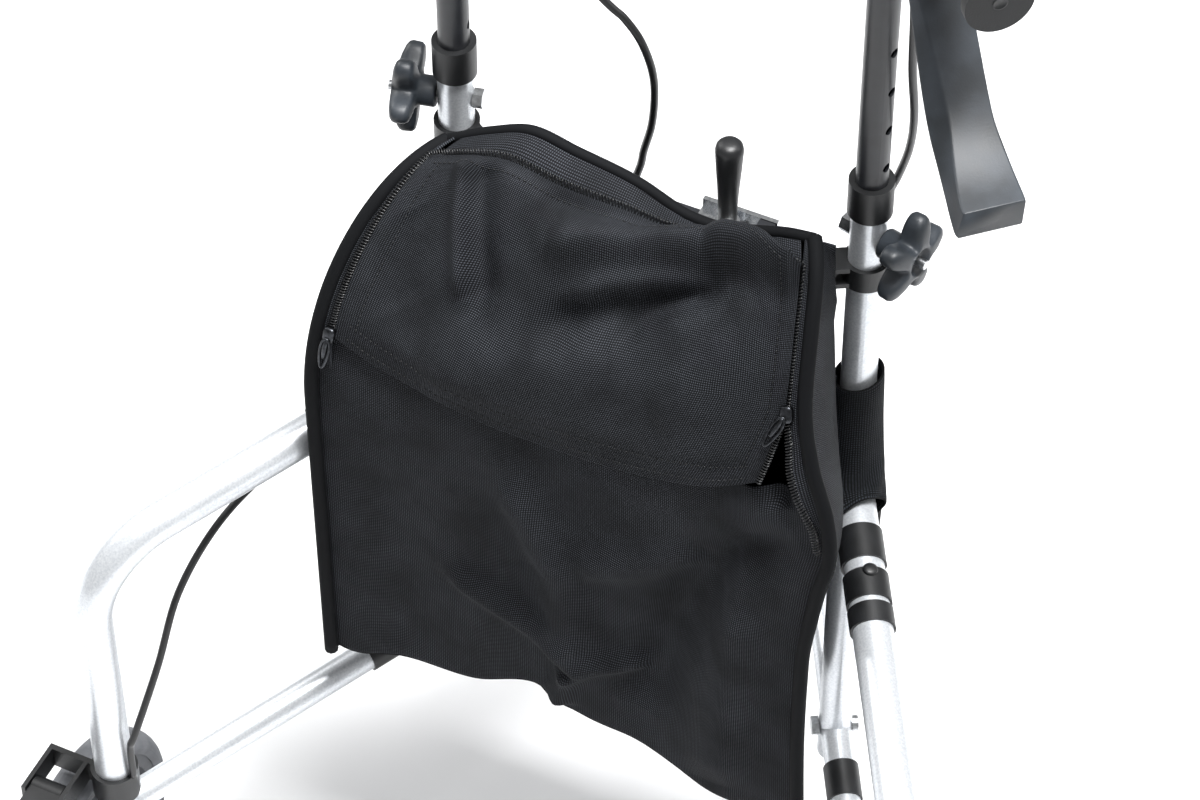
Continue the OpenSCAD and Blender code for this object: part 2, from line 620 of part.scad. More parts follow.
module cable(route) color("black") sweep(smooth(route, cable_steps), cable_d);

// Bag, drawn as its side outline carried across between the side frames

bag_round_back = 93;
// More than half the bag's width
bag_span = upright_x + bag_rear;
bag_round_up = 160;
function bag_outline(in) = let (
    back = -bag_rear + in,
    centre = [-bag_rear + bag_round_back, collar_z - bag_top_drop - bag_round_up])
    concat(
        [[bag_front - in, collar_z - bag_low_drop + in], [bag_front - in, collar_z - bag_front_drop - in],
         centre + [-in, bag_round_up - bag_edge - in]],
        [for (a = [90 : 10 : 180])
            centre + [min((bag_round_back - in) * cos(a), -in), (bag_round_up - in) * sin(a)]],
        [[back, collar_z - bag_low_drop + in]]);
// Everything between the two side frames, with the sides drawn in by a margin
module between_frames(in) translate([0, upright_y, collar_z - bag_low_drop - 10])
    linear_extrude(bag_low_drop + 40) let (
        half = upright_x - (bag_in + in) / cos(open_angle),
        slope = tan(open_angle))
        polygon([[-half + bag_front * slope, bag_front], [half - bag_front * slope, bag_front],
            [half + bag_rear * slope, -bag_rear], [-half - bag_rear * slope, -bag_rear]]);
module bag_space(in) intersection() {
    translate([0, upright_y, 0]) rotate([90, 0, 90]) translate([0, 0, -bag_span])
        linear_extrude(2 * bag_span) polygon(bag_outline(in));
    between_frames(in);
}
module bag_shell() difference() {
    bag_space(0);
    bag_space(bag_wall);
}
// The part of the top that the zip lets go, between the side panels and above the hem
lid_edge = 9;
module lid_region(grow) intersection() {
    between_frames(lid_edge - grow);
    translate([-bag_span, upright_y - bag_rear - 1, hem_z - grow])
        cube([2 * bag_span, bag_round_back - lid_edge + 1 + grow, bag_hem_drop + grow]);
}
module bag_body() color("black") difference() {
    bag_shell();
    lid_region(pass_gap);
}
module bag_lid() color("black") intersection() {
    bag_shell();
    lid_region(0);
}
slider_h = 26;
slider_w = 8;
slider_t = 3;
slider_clear = 0.1;
slider_z = collar_z - slider_drop;
function bag_back(z) = bag_rear - bag_round_back
    + bag_round_back * sqrt(1 - pow((z - collar_z + bag_top_drop + bag_round_up) / bag_round_up, 2));
slider_lean = atan((bag_back(slider_z - slider_h) - bag_back(slider_z)) / slider_h);
// The sliders stand on the border, just outside the lid's edge
slider_in = lid_edge - pass_gap - slider_w / 2 - 1;
module zip_sliders() color("dimgray") for (s = [-1, 1]) translate([
    s * (upright_x - (bag_in + slider_in) / cos(open_angle) + bag_back(slider_z) * tan(open_angle)),
    upright_y - bag_back(slider_z - slider_h) - seat_gap - slider_clear, slider_z - slider_h])
    rotate([-slider_lean, 0, 0]) translate([-slider_w / 2, -slider_t, 0]) cube([slider_w, slider_t, slider_h]);

front_stem();
hinge_pins();
stem_cap();
head_bushes();
front_fork();
fork_nut();
front_rim();
front_tyre();
front_axle();
bag_body();
bag_lid();
zip_sliders();
latch_plate();
latch_handle();
for (s = ["left_", "right_"]) side_of(s) {
    upright();
    arch_tube();
    lower_tube();
    hinge_post();
    collar();
    clamp_bolt();
    knob();
    handle_tube();
    grip();
    lever_mount();
    brake_lever();
    brace_bracket();
    frame_bolts();
    cable_bands();
    rear_axle();
    rear_rim();
    rear_tyre();
    brake_bracket();
    brake_arm();
    cable(s == "left_" ? left_route : right_route);
    bag_strap();
}
brace_link(-1);  // left_brace_link
right_brace_link();
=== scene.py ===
# %% [markdown]
# # A three wheel rollator
# The walker's frame comes in as finished solids: tubes, wheels, levers and hinges, each at its real size.
# This lesson gives those solids their finishes and sews the bag, which is the part the eye meets first.
# Everything is in metres, with +Z up, +Y the way the walker travels and +X to the user's right.

# %% Load the walker's solids
import json
import math

import bpy
import numpy as np
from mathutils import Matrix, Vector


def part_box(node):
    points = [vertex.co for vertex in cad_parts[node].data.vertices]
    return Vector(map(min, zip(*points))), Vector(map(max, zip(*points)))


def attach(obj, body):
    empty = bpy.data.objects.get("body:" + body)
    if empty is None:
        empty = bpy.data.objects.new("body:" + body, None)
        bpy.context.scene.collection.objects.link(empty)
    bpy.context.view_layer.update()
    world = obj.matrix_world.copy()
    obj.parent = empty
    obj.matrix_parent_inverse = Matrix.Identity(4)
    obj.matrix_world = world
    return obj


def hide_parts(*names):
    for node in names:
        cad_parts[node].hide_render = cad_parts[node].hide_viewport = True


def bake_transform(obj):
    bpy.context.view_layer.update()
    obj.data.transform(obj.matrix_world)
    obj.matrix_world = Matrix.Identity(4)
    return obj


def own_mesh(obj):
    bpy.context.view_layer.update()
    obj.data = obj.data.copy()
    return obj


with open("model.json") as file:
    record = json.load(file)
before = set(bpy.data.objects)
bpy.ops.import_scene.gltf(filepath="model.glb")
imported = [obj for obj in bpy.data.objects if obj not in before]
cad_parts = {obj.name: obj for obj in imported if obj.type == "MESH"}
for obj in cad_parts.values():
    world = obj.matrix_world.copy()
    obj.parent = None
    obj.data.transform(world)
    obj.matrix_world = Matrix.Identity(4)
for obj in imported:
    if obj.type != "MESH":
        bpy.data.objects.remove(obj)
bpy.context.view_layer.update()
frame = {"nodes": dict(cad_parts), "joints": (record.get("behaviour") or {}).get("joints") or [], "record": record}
nodes = frame["nodes"]

# %% [markdown]
# ## Where things are
# The places of the uprights, the collar and the front hinges are read from the solids. The bag is then drawn
# in its own small frame, with Y counted from the uprights and Z from the collar.

# %% Places read from the solids
MM = 0.001
SIDES = (("left", -1), ("right", 1))
upright_low, upright_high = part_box("right_upright")
upright_x = (upright_low.x + upright_high.x) / 2
upright_y = (upright_low.y + upright_high.y) / 2
collar_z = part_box("right_collar")[0].z
joints = {joint["name"]: joint for joint in frame["joints"]}
hinge_x, hinge_y, _ = joints["right_fold"]["pos_m"]
side_slope = (upright_x - hinge_x) / (hinge_y - upright_y)
side_cos = 1 / math.hypot(1, side_slope)
side_sin = side_slope * side_cos
print("uprights at", round(upright_x, 4), round(upright_y, 4), "collar at", round(collar_z, 4))

# %% [markdown]
# ## Camera, light and floor
# The view looks down from behind the user's right shoulder with a long lens, so the tubes stay almost
# parallel. The light is soft: a strong panel overhead, a weak one on each side, and an even white sky over
# a pale floor.

# %% Camera
IMAGE_W, FOCAL_PX, SENSOR_MM = 1200, 4200, 36
CAMERA_AT = (0.7195, -1.5655, 2.4263)
AZIMUTH, ELEVATION, ROLL = 25.50, 48.52, -0.08


def aim(azimuth, elevation, roll):
    """The camera's axes as columns: right, up and backwards, from its heading, dip and roll in degrees."""
    a, e, r = np.radians([azimuth, elevation, roll])
    ahead = np.array([-np.sin(a) * np.cos(e), np.cos(a) * np.cos(e), -np.sin(e)])
    right = np.array([np.cos(a), np.sin(a), 0.0])
    up = np.cross(right, ahead)
    return np.column_stack([right * np.cos(r) + up * np.sin(r), up * np.cos(r) - right * np.sin(r), -ahead])


lens = bpy.data.cameras.new("camera")
lens.sensor_width = SENSOR_MM
lens.lens = FOCAL_PX / IMAGE_W * SENSOR_MM
camera = bpy.data.objects.new("camera", lens)
bpy.context.scene.collection.objects.link(camera)
pose = np.eye(4)
pose[:3, :3] = aim(AZIMUTH, ELEVATION, ROLL)
pose[:3, 3] = CAMERA_AT
camera.matrix_world = pose.T.tolist()
bpy.context.scene.camera = camera
print("lens", round(lens.lens, 1), "mm")

# %% Lights
SKY = 0.36
bpy.context.scene.view_settings.view_transform = "Standard"


def panel(name, place, target, size, power):
    """A soft square light of that size, turned to face a target."""
    light = bpy.data.lights.new(name, "AREA")
    light.size = size
    light.energy = power
    lamp = bpy.data.objects.new(name, light)
    bpy.context.scene.collection.objects.link(lamp)
    back = np.array(place, float) - np.array(target, float)
    back /= np.linalg.norm(back)
    right = np.cross([0.0, 1.0, 0.0] if abs(back[2]) > 0.9 else [0.0, 0.0, 1.0], back)
    right /= np.linalg.norm(right)
    turn = np.eye(4)
    turn[:3, :3] = np.column_stack([right, np.cross(back, right), back])
    turn[:3, 3] = place
    lamp.matrix_world = turn.T.tolist()


panel("window_left", (-1.9, 0.3, 2.0), (0, 0, 0.5), 1.2, 32)
panel("fill_right", (2.2, 0.9, 1.9), (0, 0, 0.5), 1.0, 12)
panel("top_soft", (0.5, -0.1, 2.9), (0, 0, 0.4), 1.0, 165)
world = bpy.data.worlds.new("white_room")
bpy.context.scene.world = world
world.use_nodes = True
sky = world.node_tree.nodes["Background"]
sky.inputs["Color"].default_value = (1, 1, 1, 1)
sky.inputs["Strength"].default_value = SKY

# %% [markdown]
# ## Small helpers
# A piece is a grid of points worked out by a formula, with a map that says how far along and across the cloth
# each point lies. One function turns such a grid into a mesh, one adds a shader node, one starts a material.

# %% Helpers for meshes


def grid_faces(rows, cols, wrap_cols=False):
    """Four-sided faces between neighbouring points of a grid, joined round where its columns wrap."""
    i = np.arange(rows - 1)[:, None]
    j = np.arange(cols if wrap_cols else cols - 1)[None, :]
    beside = (j + 1) % cols
    corners = [i * cols + j, i * cols + beside, (i + 1) * cols + beside, (i + 1) * cols + j]
    return np.stack([np.broadcast_to(c, (i.size, j.size)) for c in corners], -1).reshape(-1, 4)


def make_piece(name, points, faces, material, uv=None):
    """A smooth mesh object from points and faces, with an optional map in millimetres of cloth."""
    mesh = bpy.data.meshes.new(name)
    mesh.from_pydata(np.asarray(points).reshape(-1, 3).tolist(), [], [list(face) for face in faces])
    mesh.polygons.foreach_set("use_smooth", np.ones(len(mesh.polygons), bool))
    if uv is not None:
        layer = mesh.uv_layers.new(name="cloth")
        corner = np.zeros(len(mesh.loops), np.int32)
        mesh.loops.foreach_get("vertex_index", corner)
        layer.data.foreach_set("uv", np.asarray(uv, float).reshape(-1, 2)[corner].ravel())
    mesh.materials.append(material)
    mesh.update()
    piece = bpy.data.objects.new(name, mesh)
    bpy.context.scene.collection.objects.link(piece)
    return piece


def grid_piece(name, points, material, wrap_cols=False, flip=False):
    """A piece from a grid of points, mapped by the mean distance along its rows and columns."""
    rows, cols = points.shape[:2]
    faces = grid_faces(rows, cols, wrap_cols)
    across = np.linalg.norm(np.diff(points, axis=1), axis=2).mean(0)
    along = np.linalg.norm(np.diff(points, axis=0), axis=2).mean(1)
    u, v = np.meshgrid(np.r_[0, np.cumsum(across)], np.r_[0, np.cumsum(along)])
    return make_piece(name, points, faces[:, ::-1] if flip else faces, material, np.stack([u, v], -1) / MM)


def frames_along(path):
    """Directions along a path and two square to it, carried on from point to point without a twist."""
    path = np.asarray(path, float)
    ahead = np.gradient(path, axis=0)
    ahead /= np.linalg.norm(ahead, axis=1)[:, None]
    side = np.empty_like(ahead)
    start = np.cross(ahead[0], [0, 0, 1] if abs(ahead[0][2]) < 0.9 else [0, 1, 0])
    side[0] = start / np.linalg.norm(start)
    for k in range(1, len(path)):
        carried = side[k - 1] - ahead[k] * (side[k - 1] @ ahead[k])
        side[k] = carried / np.linalg.norm(carried)
    return ahead, side, np.cross(ahead, side)


def round_turn(sides):
    """Angles of a full turn in equal steps."""
    return np.linspace(0, 2 * np.pi, sides, endpoint=False)


def rings(angle, side, up):
    """A ring of directions for each pair of square directions."""
    return np.cos(angle)[None, :, None] * side[:, None] + np.sin(angle)[None, :, None] * up[:, None]


def loft(name, sections, material, flip=False):
    """A closed piece through rings of points, with a flat face on each end."""
    sections = np.asarray(sections)
    rows, cols = sections.shape[:2]
    first, last = np.arange(cols)[::-1], np.arange(cols) + (rows - 1) * cols
    faces = grid_faces(rows, cols, True).tolist() + [first.tolist(), last.tolist()]
    return make_piece(name, sections, [face[::-1] for face in faces] if flip else faces, material)


def tube_piece(name, path, radius, material, sides=10):
    """A closed round tube along a path, of one radius or of a radius for each ring."""
    _, side, up = frames_along(path)
    radius = np.broadcast_to(radius, len(path))[:, None, None]
    points = np.asarray(path)[:, None] + radius * rings(round_turn(sides), side, up)
    return loft(name, points, material, flip=True)


def curve_through(points, steps):
    """A smooth curve through given points: each stretch is a cubic whose slope at a point follows its two
    neighbours."""
    p = np.asarray(points, float)
    slope = np.gradient(p, axis=0)
    t = np.linspace(0, 1, steps, endpoint=False)[None, :, None]
    a, b, ma, mb = p[:-1, None], p[1:, None], slope[:-1, None], slope[1:, None]
    line = (2 * t**3 - 3 * t**2 + 1) * a + (t**3 - 2 * t**2 + t) * ma
    line = line + (3 * t**2 - 2 * t**3) * b + (t**3 - t**2) * mb
    return np.vstack([line.reshape(-1, p.shape[1]), p[-1:]])


def finish_piece(piece, body, slot, *stands_for):
    """Hangs a piece on its body and hides the solids that it stands for. The slot is not used."""
    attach(piece, body)
    if stands_for:
        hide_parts(*stands_for)
    return piece


def thicken(piece, thickness, offset=-1.0):
    """Gives a sheet its thickness, on the inside unless the offset says otherwise."""
    wall = piece.modifiers.new("thickness", "SOLIDIFY")
    wall.thickness = thickness
    wall.offset = offset
    return piece


# %% Helpers for materials


def colour(text):
    """A linear colour from an sRGB hex value."""
    value = np.array([int(text[k:k + 2], 16) for k in (1, 3, 5)]) / 255
    linear = np.where(value <= 0.04045, value / 12.92, ((value + 0.055) / 1.055) ** 2.4)
    return (*linear.tolist(), 1.0)


def node(tree, kind, inputs=None, **settings):
    """Adds a node with its settings, and fills its inputs with values or with other nodes' outputs."""
    made = tree.nodes.new(kind)
    for name, value in settings.items():
        setattr(made, name, value)
    for name, value in (inputs or {}).items():
        if isinstance(value, bpy.types.NodeSocket):
            tree.links.new(value, made.inputs[name])
        else:
            made.inputs[name].default_value = value
    return made


def material(name, **sockets):
    """A new material with those values on its shader, returned with its tree and its shader node."""
    made = bpy.data.materials.new(name)
    made.use_nodes = True
    shader = made.node_tree.nodes["Principled BSDF"]
    for socket, value in sockets.items():
        shader.inputs[socket.replace("_", " ")].default_value = value
    return made, made.node_tree, shader


def ramp(tree, factor, *stops):
    """A colour ramp from a factor, with (position, colour) stops."""
    made = node(tree, "ShaderNodeValToRGB", {"Fac": factor})
    for _ in stops[2:]:
        made.color_ramp.elements.new(0.5)
    for stop, (position, shade) in zip(made.color_ramp.elements, stops):
        stop.position = position
        stop.color = shade
    return made.outputs["Color"]


def noise(tree, place, size_mm, detail):
    """Noise on Object coordinates, with features of about that many millimetres."""
    made = node(tree, "ShaderNodeTexNoise", {"Vector": place, "Scale": 1 / (size_mm * MM), "Detail": detail})
    return made.outputs["Fac"]


def uneven_gloss(tree, shader, factor, low, high):
    """Links a roughness between two values to a pattern."""
    gloss = node(tree, "ShaderNodeMapRange", {"Value": factor, "To Min": low, "To Max": high})
    tree.links.new(gloss.outputs["Result"], shader.inputs["Roughness"])


def raised(tree, shader, height, strength, distance):
    """Links a bump of that distance to a pattern."""
    bump = node(tree, "ShaderNodeBump", {"Height": height, "Strength": strength, "Distance": distance})
    tree.links.new(bump.outputs["Normal"], shader.inputs["Normal"])


# %% [markdown]
# ## Finishes
# Each finish starts from what the real surface is and how it was made. The tubes are aluminium under a silver
# metallic coat: bright, with a fine flake and a slightly uneven gloss. The handle tubes are satin black. The
# plastics are moulded, with a fine spark-eroded grain, and the cloth is dull woven polyester.

# %% Silver coat on the frame tubes
FLAKE_MM = 1.4  # the real flake is a tenth of this, drawn coarser so that it shows
CLOUD_MM, MOTTLE_MM, DRAW_LINE_MM = 60, 18, 2.5
GRAIN_DEPTH = 0.2 * MM


def silver_coat():
    """Metallic lacquer: a bright flake colour with small changes of gloss."""
    made, tree, shader = material("silver_metallic_coat", Metallic=0.6)
    place = node(tree, "ShaderNodeTexCoord").outputs["Object"]
    flake = noise(tree, place, FLAKE_MM, 2.0)
    tint = ramp(tree, flake, (0.3, colour("#cdd1d6")), (0.7, colour("#e4e7ea")))
    tree.links.new(tint, shader.inputs["Base Color"])
    uneven_gloss(tree, shader, noise(tree, place, CLOUD_MM, 3.0), 0.26, 0.38)
    return made


def grained_plastic(name, dark, light, roughness, grain_mm=0.9, depth=0.25):
    """Moulded plastic or rubber: a fine pitted grain, and a faint mottling of its colour and gloss."""
    made, tree, shader = material(name, IOR=1.5)
    place = node(tree, "ShaderNodeTexCoord").outputs["Object"]
    mottle = noise(tree, place, MOTTLE_MM, 4.0)
    tint = ramp(tree, mottle, (0.35, colour(dark)), (0.7, colour(light)))
    tree.links.new(tint, shader.inputs["Base Color"])
    uneven_gloss(tree, shader, mottle, roughness - 0.06, roughness + 0.08)
    raised(tree, shader, noise(tree, place, grain_mm, 2.0), depth, GRAIN_DEPTH)
    return made


def plated_steel(name, dark, light, roughness):
    """Plated steel: full metal, with fine draw lines that break up the highlight."""
    made, tree, shader = material(name, Metallic=1.0)
    place = node(tree, "ShaderNodeTexCoord").outputs["Object"]
    lines = noise(tree, place, DRAW_LINE_MM, 5.0)
    tint = ramp(tree, lines, (0.3, colour(dark)), (0.7, colour(light)))
    tree.links.new(tint, shader.inputs["Base Color"])
    uneven_gloss(tree, shader, lines, roughness - 0.06, roughness + 0.08)
    return made


silver = silver_coat()
steel = plated_steel("zinc_plated_steel", "#a9abad", "#d0d2d4", 0.3)
chrome = plated_steel("chrome_plated_steel", "#c9ccd0", "#eceef0", 0.14)
zip_metal = plated_steel("black_nickel_zinc", "#2a2b2d", "#4a4c50", 0.34)
black_tube = grained_plastic("satin_black_paint", "#17181b", "#232529", 0.34, 1.6, 0.08)
black_plastic = grained_plastic("black_moulded_nylon", "#0e0f10", "#17181a", 0.42)
charcoal = grained_plastic("charcoal_moulded_nylon", "#1c2024", "#2a2f35", 0.46, 1.1, 0.25)
grip_rubber = grained_plastic("black_grip_rubber", "#101112", "#1a1b1d", 0.62, 1.2, 0.35)
tyre_rubber = grained_plastic("grey_tyre_rubber", "#56585c", "#6e7074", 0.7, 1.5, 0.35)
rim_plastic = grained_plastic("dark_grey_rim_nylon", "#3c3e42", "#4c4e53", 0.5)
zip_coil = grained_plastic("black_nylon_coil", "#0a0a0b", "#1d1e20", 0.3, 1.5, 0.1)
sheath = grained_plastic("black_cable_sheath", "#0b0b0c", "#161617", 0.36, 1.5, 0.1)

# %% [markdown]
# ## Woven cloth
# The bag is a plain weave of coarse polyester, and from a step away its threads make a fine even grain. Real
# threads lie half a millimetre apart, finer than a pixel of the picture, so the weave is drawn at just over a
# millimetre. It follows the cloth's own map, so it bends with the folds.

# %% Woven polyester and webbing
WAVE_UNIT = 20 / (2 * math.pi)  # a wave texture of scale one repeats every so many units
SHEEN_AND_WEAR_MM, WEAVE_DEPTH = 45, 0.5 * MM


def woven(name, dark, light, thread_mm, roughness):
    """Two sets of threads crossing: where they pass over each other the surface rises, and a painted sheen makes
    the colour lighter there, more so in large random patches.
    """
    made, tree, shader = material(name, Roughness=roughness, Specular_IOR_Level=0.1)
    cloth = node(tree, "ShaderNodeUVMap", uv_map="cloth").outputs["UV"]
    threads = []
    for turn in (0.0, math.pi / 2):
        lie = node(tree, "ShaderNodeMapping", {"Vector": cloth, "Rotation": (0, 0, turn)})
        wave = node(tree, "ShaderNodeTexWave", {
            "Vector": lie.outputs["Vector"], "Scale": 1 / (WAVE_UNIT * thread_mm), "Distortion": 0.6,
            "Detail": 1.0, "Detail Scale": 0.4})
        threads.append(wave.outputs["Fac"])
    cross = node(tree, "ShaderNodeMath", dict(enumerate(threads)), operation="MULTIPLY").outputs["Value"]
    sheen_and_wear = node(tree, "ShaderNodeTexNoise", {"Vector": cloth, "Scale": 1 / SHEEN_AND_WEAR_MM, "Detail": 4.0})
    both = node(tree, "ShaderNodeMath", {0: cross, 1: sheen_and_wear.outputs["Fac"]}, operation="MULTIPLY")
    # painted sheen: the colour is lighter where the threads cross, more so in large random patches
    tint = ramp(tree, both.outputs["Value"], (0.05, colour(dark)), (0.5, colour(light)))
    tree.links.new(tint, shader.inputs["Base Color"])
    raised(tree, shader, cross, 0.8, WEAVE_DEPTH)
    return made


# the lighter colour of each cloth is the painted sheen on its thread crossings
bag_cloth = woven("black_woven_polyester", "#0f1012", "#484b51", 1.4, 0.78)
webbing = woven("black_webbing", "#0a0b0c", "#363a40", 1.6, 0.8)

FINISH = {"silver_tube": silver, "bright_steel": steel, "black_tube": black_tube,
          "black_plastic": black_plastic, "charcoal_plastic": charcoal, "grip_rubber": grip_rubber,
          "rim_plastic": rim_plastic, "tyre_rubber": tyre_rubber, "bag_cloth": bag_cloth,
          "zip_metal": zip_metal, "strap_webbing": webbing, "cable_sheath": sheath}
for row in frame["record"]["subparts"]:
    slots = nodes[row["node"]].data.materials
    slots.clear()
    slots.append(FINISH[row["material_slot"]])
for name in ("left_brace_link", "right_brace_link"):
    nodes[name].data.materials[0] = black_tube
nodes["latch_plate"].data.materials[0] = chrome
print("finishes:", len(FINISH))

# %% [markdown]
# ## The bag's outline
# The bag hangs between the side frames like a bread bin: a flat back, a rounded shoulder and a top that
# runs forward to a piped rim. Its sides lie along the side frames, so it is wider at the back. A point of
# the back and top is given by how far across it lies (from -1 to 1) and by an angle round the shoulder: 180
# degrees where the back begins to curve and 90 at the rim.

# %% Outline of back and shoulder
BAG_LOW, BAG_BACK, BAG_RIM = -440 * MM, -120 * MM, -29 * MM
SHOULDER_Z, SHOULDER_UP = -192 * MM, 160 * MM
SIDE_GAP = 22 * MM
shoulder_back = BAG_RIM - BAG_BACK

# How far the rim stands above the shoulder's curve, from left to right: it bows up on the left, dips beside
# the latch and rises again to the right corner. It fades out behind the rim.
RIM_ACROSS = np.array([-1.0, -0.75, -0.56, -0.31, 0.0, 0.26, 0.42, 0.62, 0.81, 1.0])
RIM_RISE = np.array([4, 24, 35, 30, 22, 9, 8, 15, 22, 25]) * MM
RISE_ENDS, RISE_FADE = 142, 50
BACK_PER_DEGREE = 10 * MM


def half_width(y):
    """Half the bag's width at a depth, where its sides lie along the side frames."""
    return upright_x - SIDE_GAP / side_cos - y * side_slope


def ease(x):
    """A smooth step from 0 to 1."""
    x = np.clip(x, 0, 1)
    return x * x * (3 - 2 * x)


def spread(x, places, values):
    """Values at given places, joined by a smooth curve."""
    at = np.clip(np.searchsorted(places, x) - 1, 0, len(places) - 2)
    slope = np.gradient(values, places)
    width = places[at + 1] - places[at]
    t = np.clip((x - places[at]) / width, 0, 1)
    start, end = values[at], values[at + 1]
    h = (2 * t**3 - 3 * t**2 + 1) * start + (3 * t**2 - 2 * t**3) * end
    return h + width * ((t**3 - 2 * t**2 + t) * slope[at] + (t**3 - t**2) * slope[at + 1])


def right_pull(z):
    """How far the right edge of the back is drawn in, where the cloth sags inwards below the shoulder."""
    places = np.array([-460, -415, -350, -300, -260, -230, -200, -170, -140, -110, -80, -50, -20]) * MM
    return spread(z, places, np.array([20, 22, 24, 24, 23, 19.5, 15.5, 10, 12.5, 21.5, 25.5, 20, 8]) * MM)


def shoulder(across, degrees, lift=0.0):
    """A point of the back and top: across the width, and round the shoulder by an angle.
    Past 180 degrees it runs straight down the back, by the same length for each degree.
    Lift moves it outwards, square to the curve."""
    angle = np.radians(np.minimum(degrees, 180))
    y = BAG_RIM + shoulder_back * np.cos(angle)
    z = SHOULDER_Z + SHOULDER_UP * np.sin(angle) - np.maximum(degrees - 180, 0) * BACK_PER_DEGREE
    out_y, out_z = SHOULDER_UP * np.cos(angle), shoulder_back * np.sin(angle)
    out = np.hypot(out_y, out_z)
    rise = spread(across, RIM_ACROSS, RIM_RISE) * ease((RISE_ENDS - degrees) / RISE_FADE)
    x = across * half_width(y) - np.maximum(across, 0) ** 3 * right_pull(z)
    return np.stack([x, y + lift * out_y / out + upright_y, z + lift * out_z / out + rise + collar_z], -1)


def ridge(x, y, line, height, width):
    """A rounded ridge along a line, which fades towards both ends. A negative height is a valley."""
    line = np.asarray(line, float)
    lengths = np.linalg.norm(np.diff(line, axis=0), axis=1)
    reached = np.r_[0, np.cumsum(lengths)] / lengths.sum()
    best, part = np.full(np.shape(x), np.inf), np.zeros(np.shape(x))
    for k, (a, b) in enumerate(zip(line[:-1], line[1:])):
        t = np.clip(((x - a[0]) * (b[0] - a[0]) + (y - a[1]) * (b[1] - a[1])) / lengths[k] ** 2, 0, 1)
        far = np.hypot(x - a[0] - t * (b[0] - a[0]), y - a[1] - t * (b[1] - a[1]))
        part = np.where(far < best, reached[k] + t * (reached[k + 1] - reached[k]), part)
        best = np.minimum(best, far)
    return height * np.exp(-((best / width) ** 2)) * ease(4 * np.minimum(part, 1 - part) + 0.35)


# %% [markdown]
# ## Back panel
# The back hangs slack from the shoulder, so long soft folds run down it: two meet near the middle of the lower
# edge, and one falls from the right side. The folds are ridges and valleys along listed lines.

# %% Back panel
CLOTH = 1.6 * MM
LOWER_EDGE_X = np.array([-185, -168, -127, -75, -21, -3, 46, 98, 154]) * MM
LOWER_EDGE_Z = np.array([-436, -440, -426, -419, -400, -411, -420, -440, -446]) * MM
# Each fold: a line of points in millimetres across and up, its height and its width.
BACK_FOLDS = [
    ([(-45, -200), (-37, -217), (-11, -272), (-1, -356)], 12.2, 16),
    ([(-90, -312), (-69, -320), (-42, -331), (-7, -344), (0, -361)], 10.8, 12),
    ([(0, -361), (20, -352), (48, -344)], 9.5, 9),
    ([(-1, -361), (-6, -380), (-12, -405)], 12.2, 9),
    ([(150, -172), (118, -200), (90, -225), (62, -310), (45, -390)], -14.9, 20),
    ([(0, -262), (40, -244), (85, -215)], 8.1, 14),
    ([(112, -240), (100, -330), (104, -430)], 10.8, 24),
    ([(-140, -240), (-120, -330), (-125, -420)], -4.1, 30),
    ([(118, -108), (132, -128), (140, -150)], -12.2, 10),
]


def back_points(across, height):
    """The back panel: height is 0 on its lower edge and 1 under the flap's hem."""
    x = across * half_width(BAG_BACK)
    low = spread(x, LOWER_EDGE_X, LOWER_EDGE_Z)
    top = SHOULDER_Z + (95 - 42 * ease((x / MM - 92) / 24)) * MM
    z = low + (top - low) * height
    inside = (z - SHOULDER_Z) / SHOULDER_UP
    below = 180 - inside * SHOULDER_UP / BACK_PER_DEGREE
    degrees = np.where(inside > 0, 180 - np.degrees(np.arcsin(np.clip(inside, 0, 1))), below)
    folds = sum(ridge(x / MM, z / MM, line, h, w) for line, h, w in BACK_FOLDS)
    edge = ease((1 - np.abs(across)) * 9)
    return shoulder(across, degrees, (folds * edge - 3) * MM)


across, height = np.meshgrid(np.linspace(-1, 1, 151), np.linspace(0, 1, 151))
back_panel = thicken(grid_piece("bag_back_panel", back_points(across, height), bag_cloth), CLOTH)

# %% [markdown]
# ## The flap
# The flap closes the top. Its left slider stands at the bottom of the zip and the right one stops short, so
# the flap's right corner hangs free. It is cut larger than the opening, so it lies slack: a crease runs
# down from the left of the rim, a deep fold crosses its right half and its hem droops over the back.

# %% Flap
LEFT_SLIDER, RIGHT_SLIDER, CORNER = 158.0, 137.0, 101.0  # angles round the shoulder
FLAP_SHARE = 0.89
FLAP_SWING = 0.0085  # how fast the free corner swings away from the border, in shares for each degree
HEM_X = np.array([-158, -127, -95, -63, -32, 0, 32, 63, 95, 127, 158.5]) * MM
HEM_Z = np.array([-134, -143.5, -149, -154, -158.5, -159, -158.5, -157, -153, -145.5, -129.5]) * MM
# Each fold: a line of points in hundredths across and degrees round, its height and its width.
FLAP_FOLDS = [
    ([(-74, 101), (-62, 118), (-49, 136)], 12, 3.5),
    ([(-64, 104), (-52, 122), (-40, 138)], -9, 7),
    ([(-20, 138), (11, 124), (48, 108)], -13, 6),
    ([(9, 134), (29, 119), (52, 108)], -11, 4.5),
    ([(-24, 118), (-6, 113), (10, 109), (26, 104), (40, 101)], 15, 5),
    ([(38, 100), (52, 100), (66, 100.5), (84, 101.5), (110, 103)], 27, 6),
    ([(-34, 106), (-10, 105), (14, 102)], -10, 5),
    ([(-10, 127), (22, 116), (50, 109)], 10, 3.5),
    ([(30, 150), (52, 132), (70, 114)], 8, 9),
    ([(-60, 158), (-20, 148), (10, 140)], 7, 9),
    ([(-84, 120), (-78, 132), (-70, 144)], -5, 9),
]
ACROSS_SCALE = 100


def zip_share(side, degrees):
    """How far across the zip lies at an angle. The right half of the open zip bends out to the seam."""
    places = np.array([88.0, 101, 114, 131, 138, 145, 152, 158, 165, 172])
    shares = np.array([0.931, 0.908, 0.899, 0.891, 0.878, 0.875, 0.86, 0.871, 0.92, 0.943])
    return np.where(side < 0, 0.93, spread(degrees, places, shares))


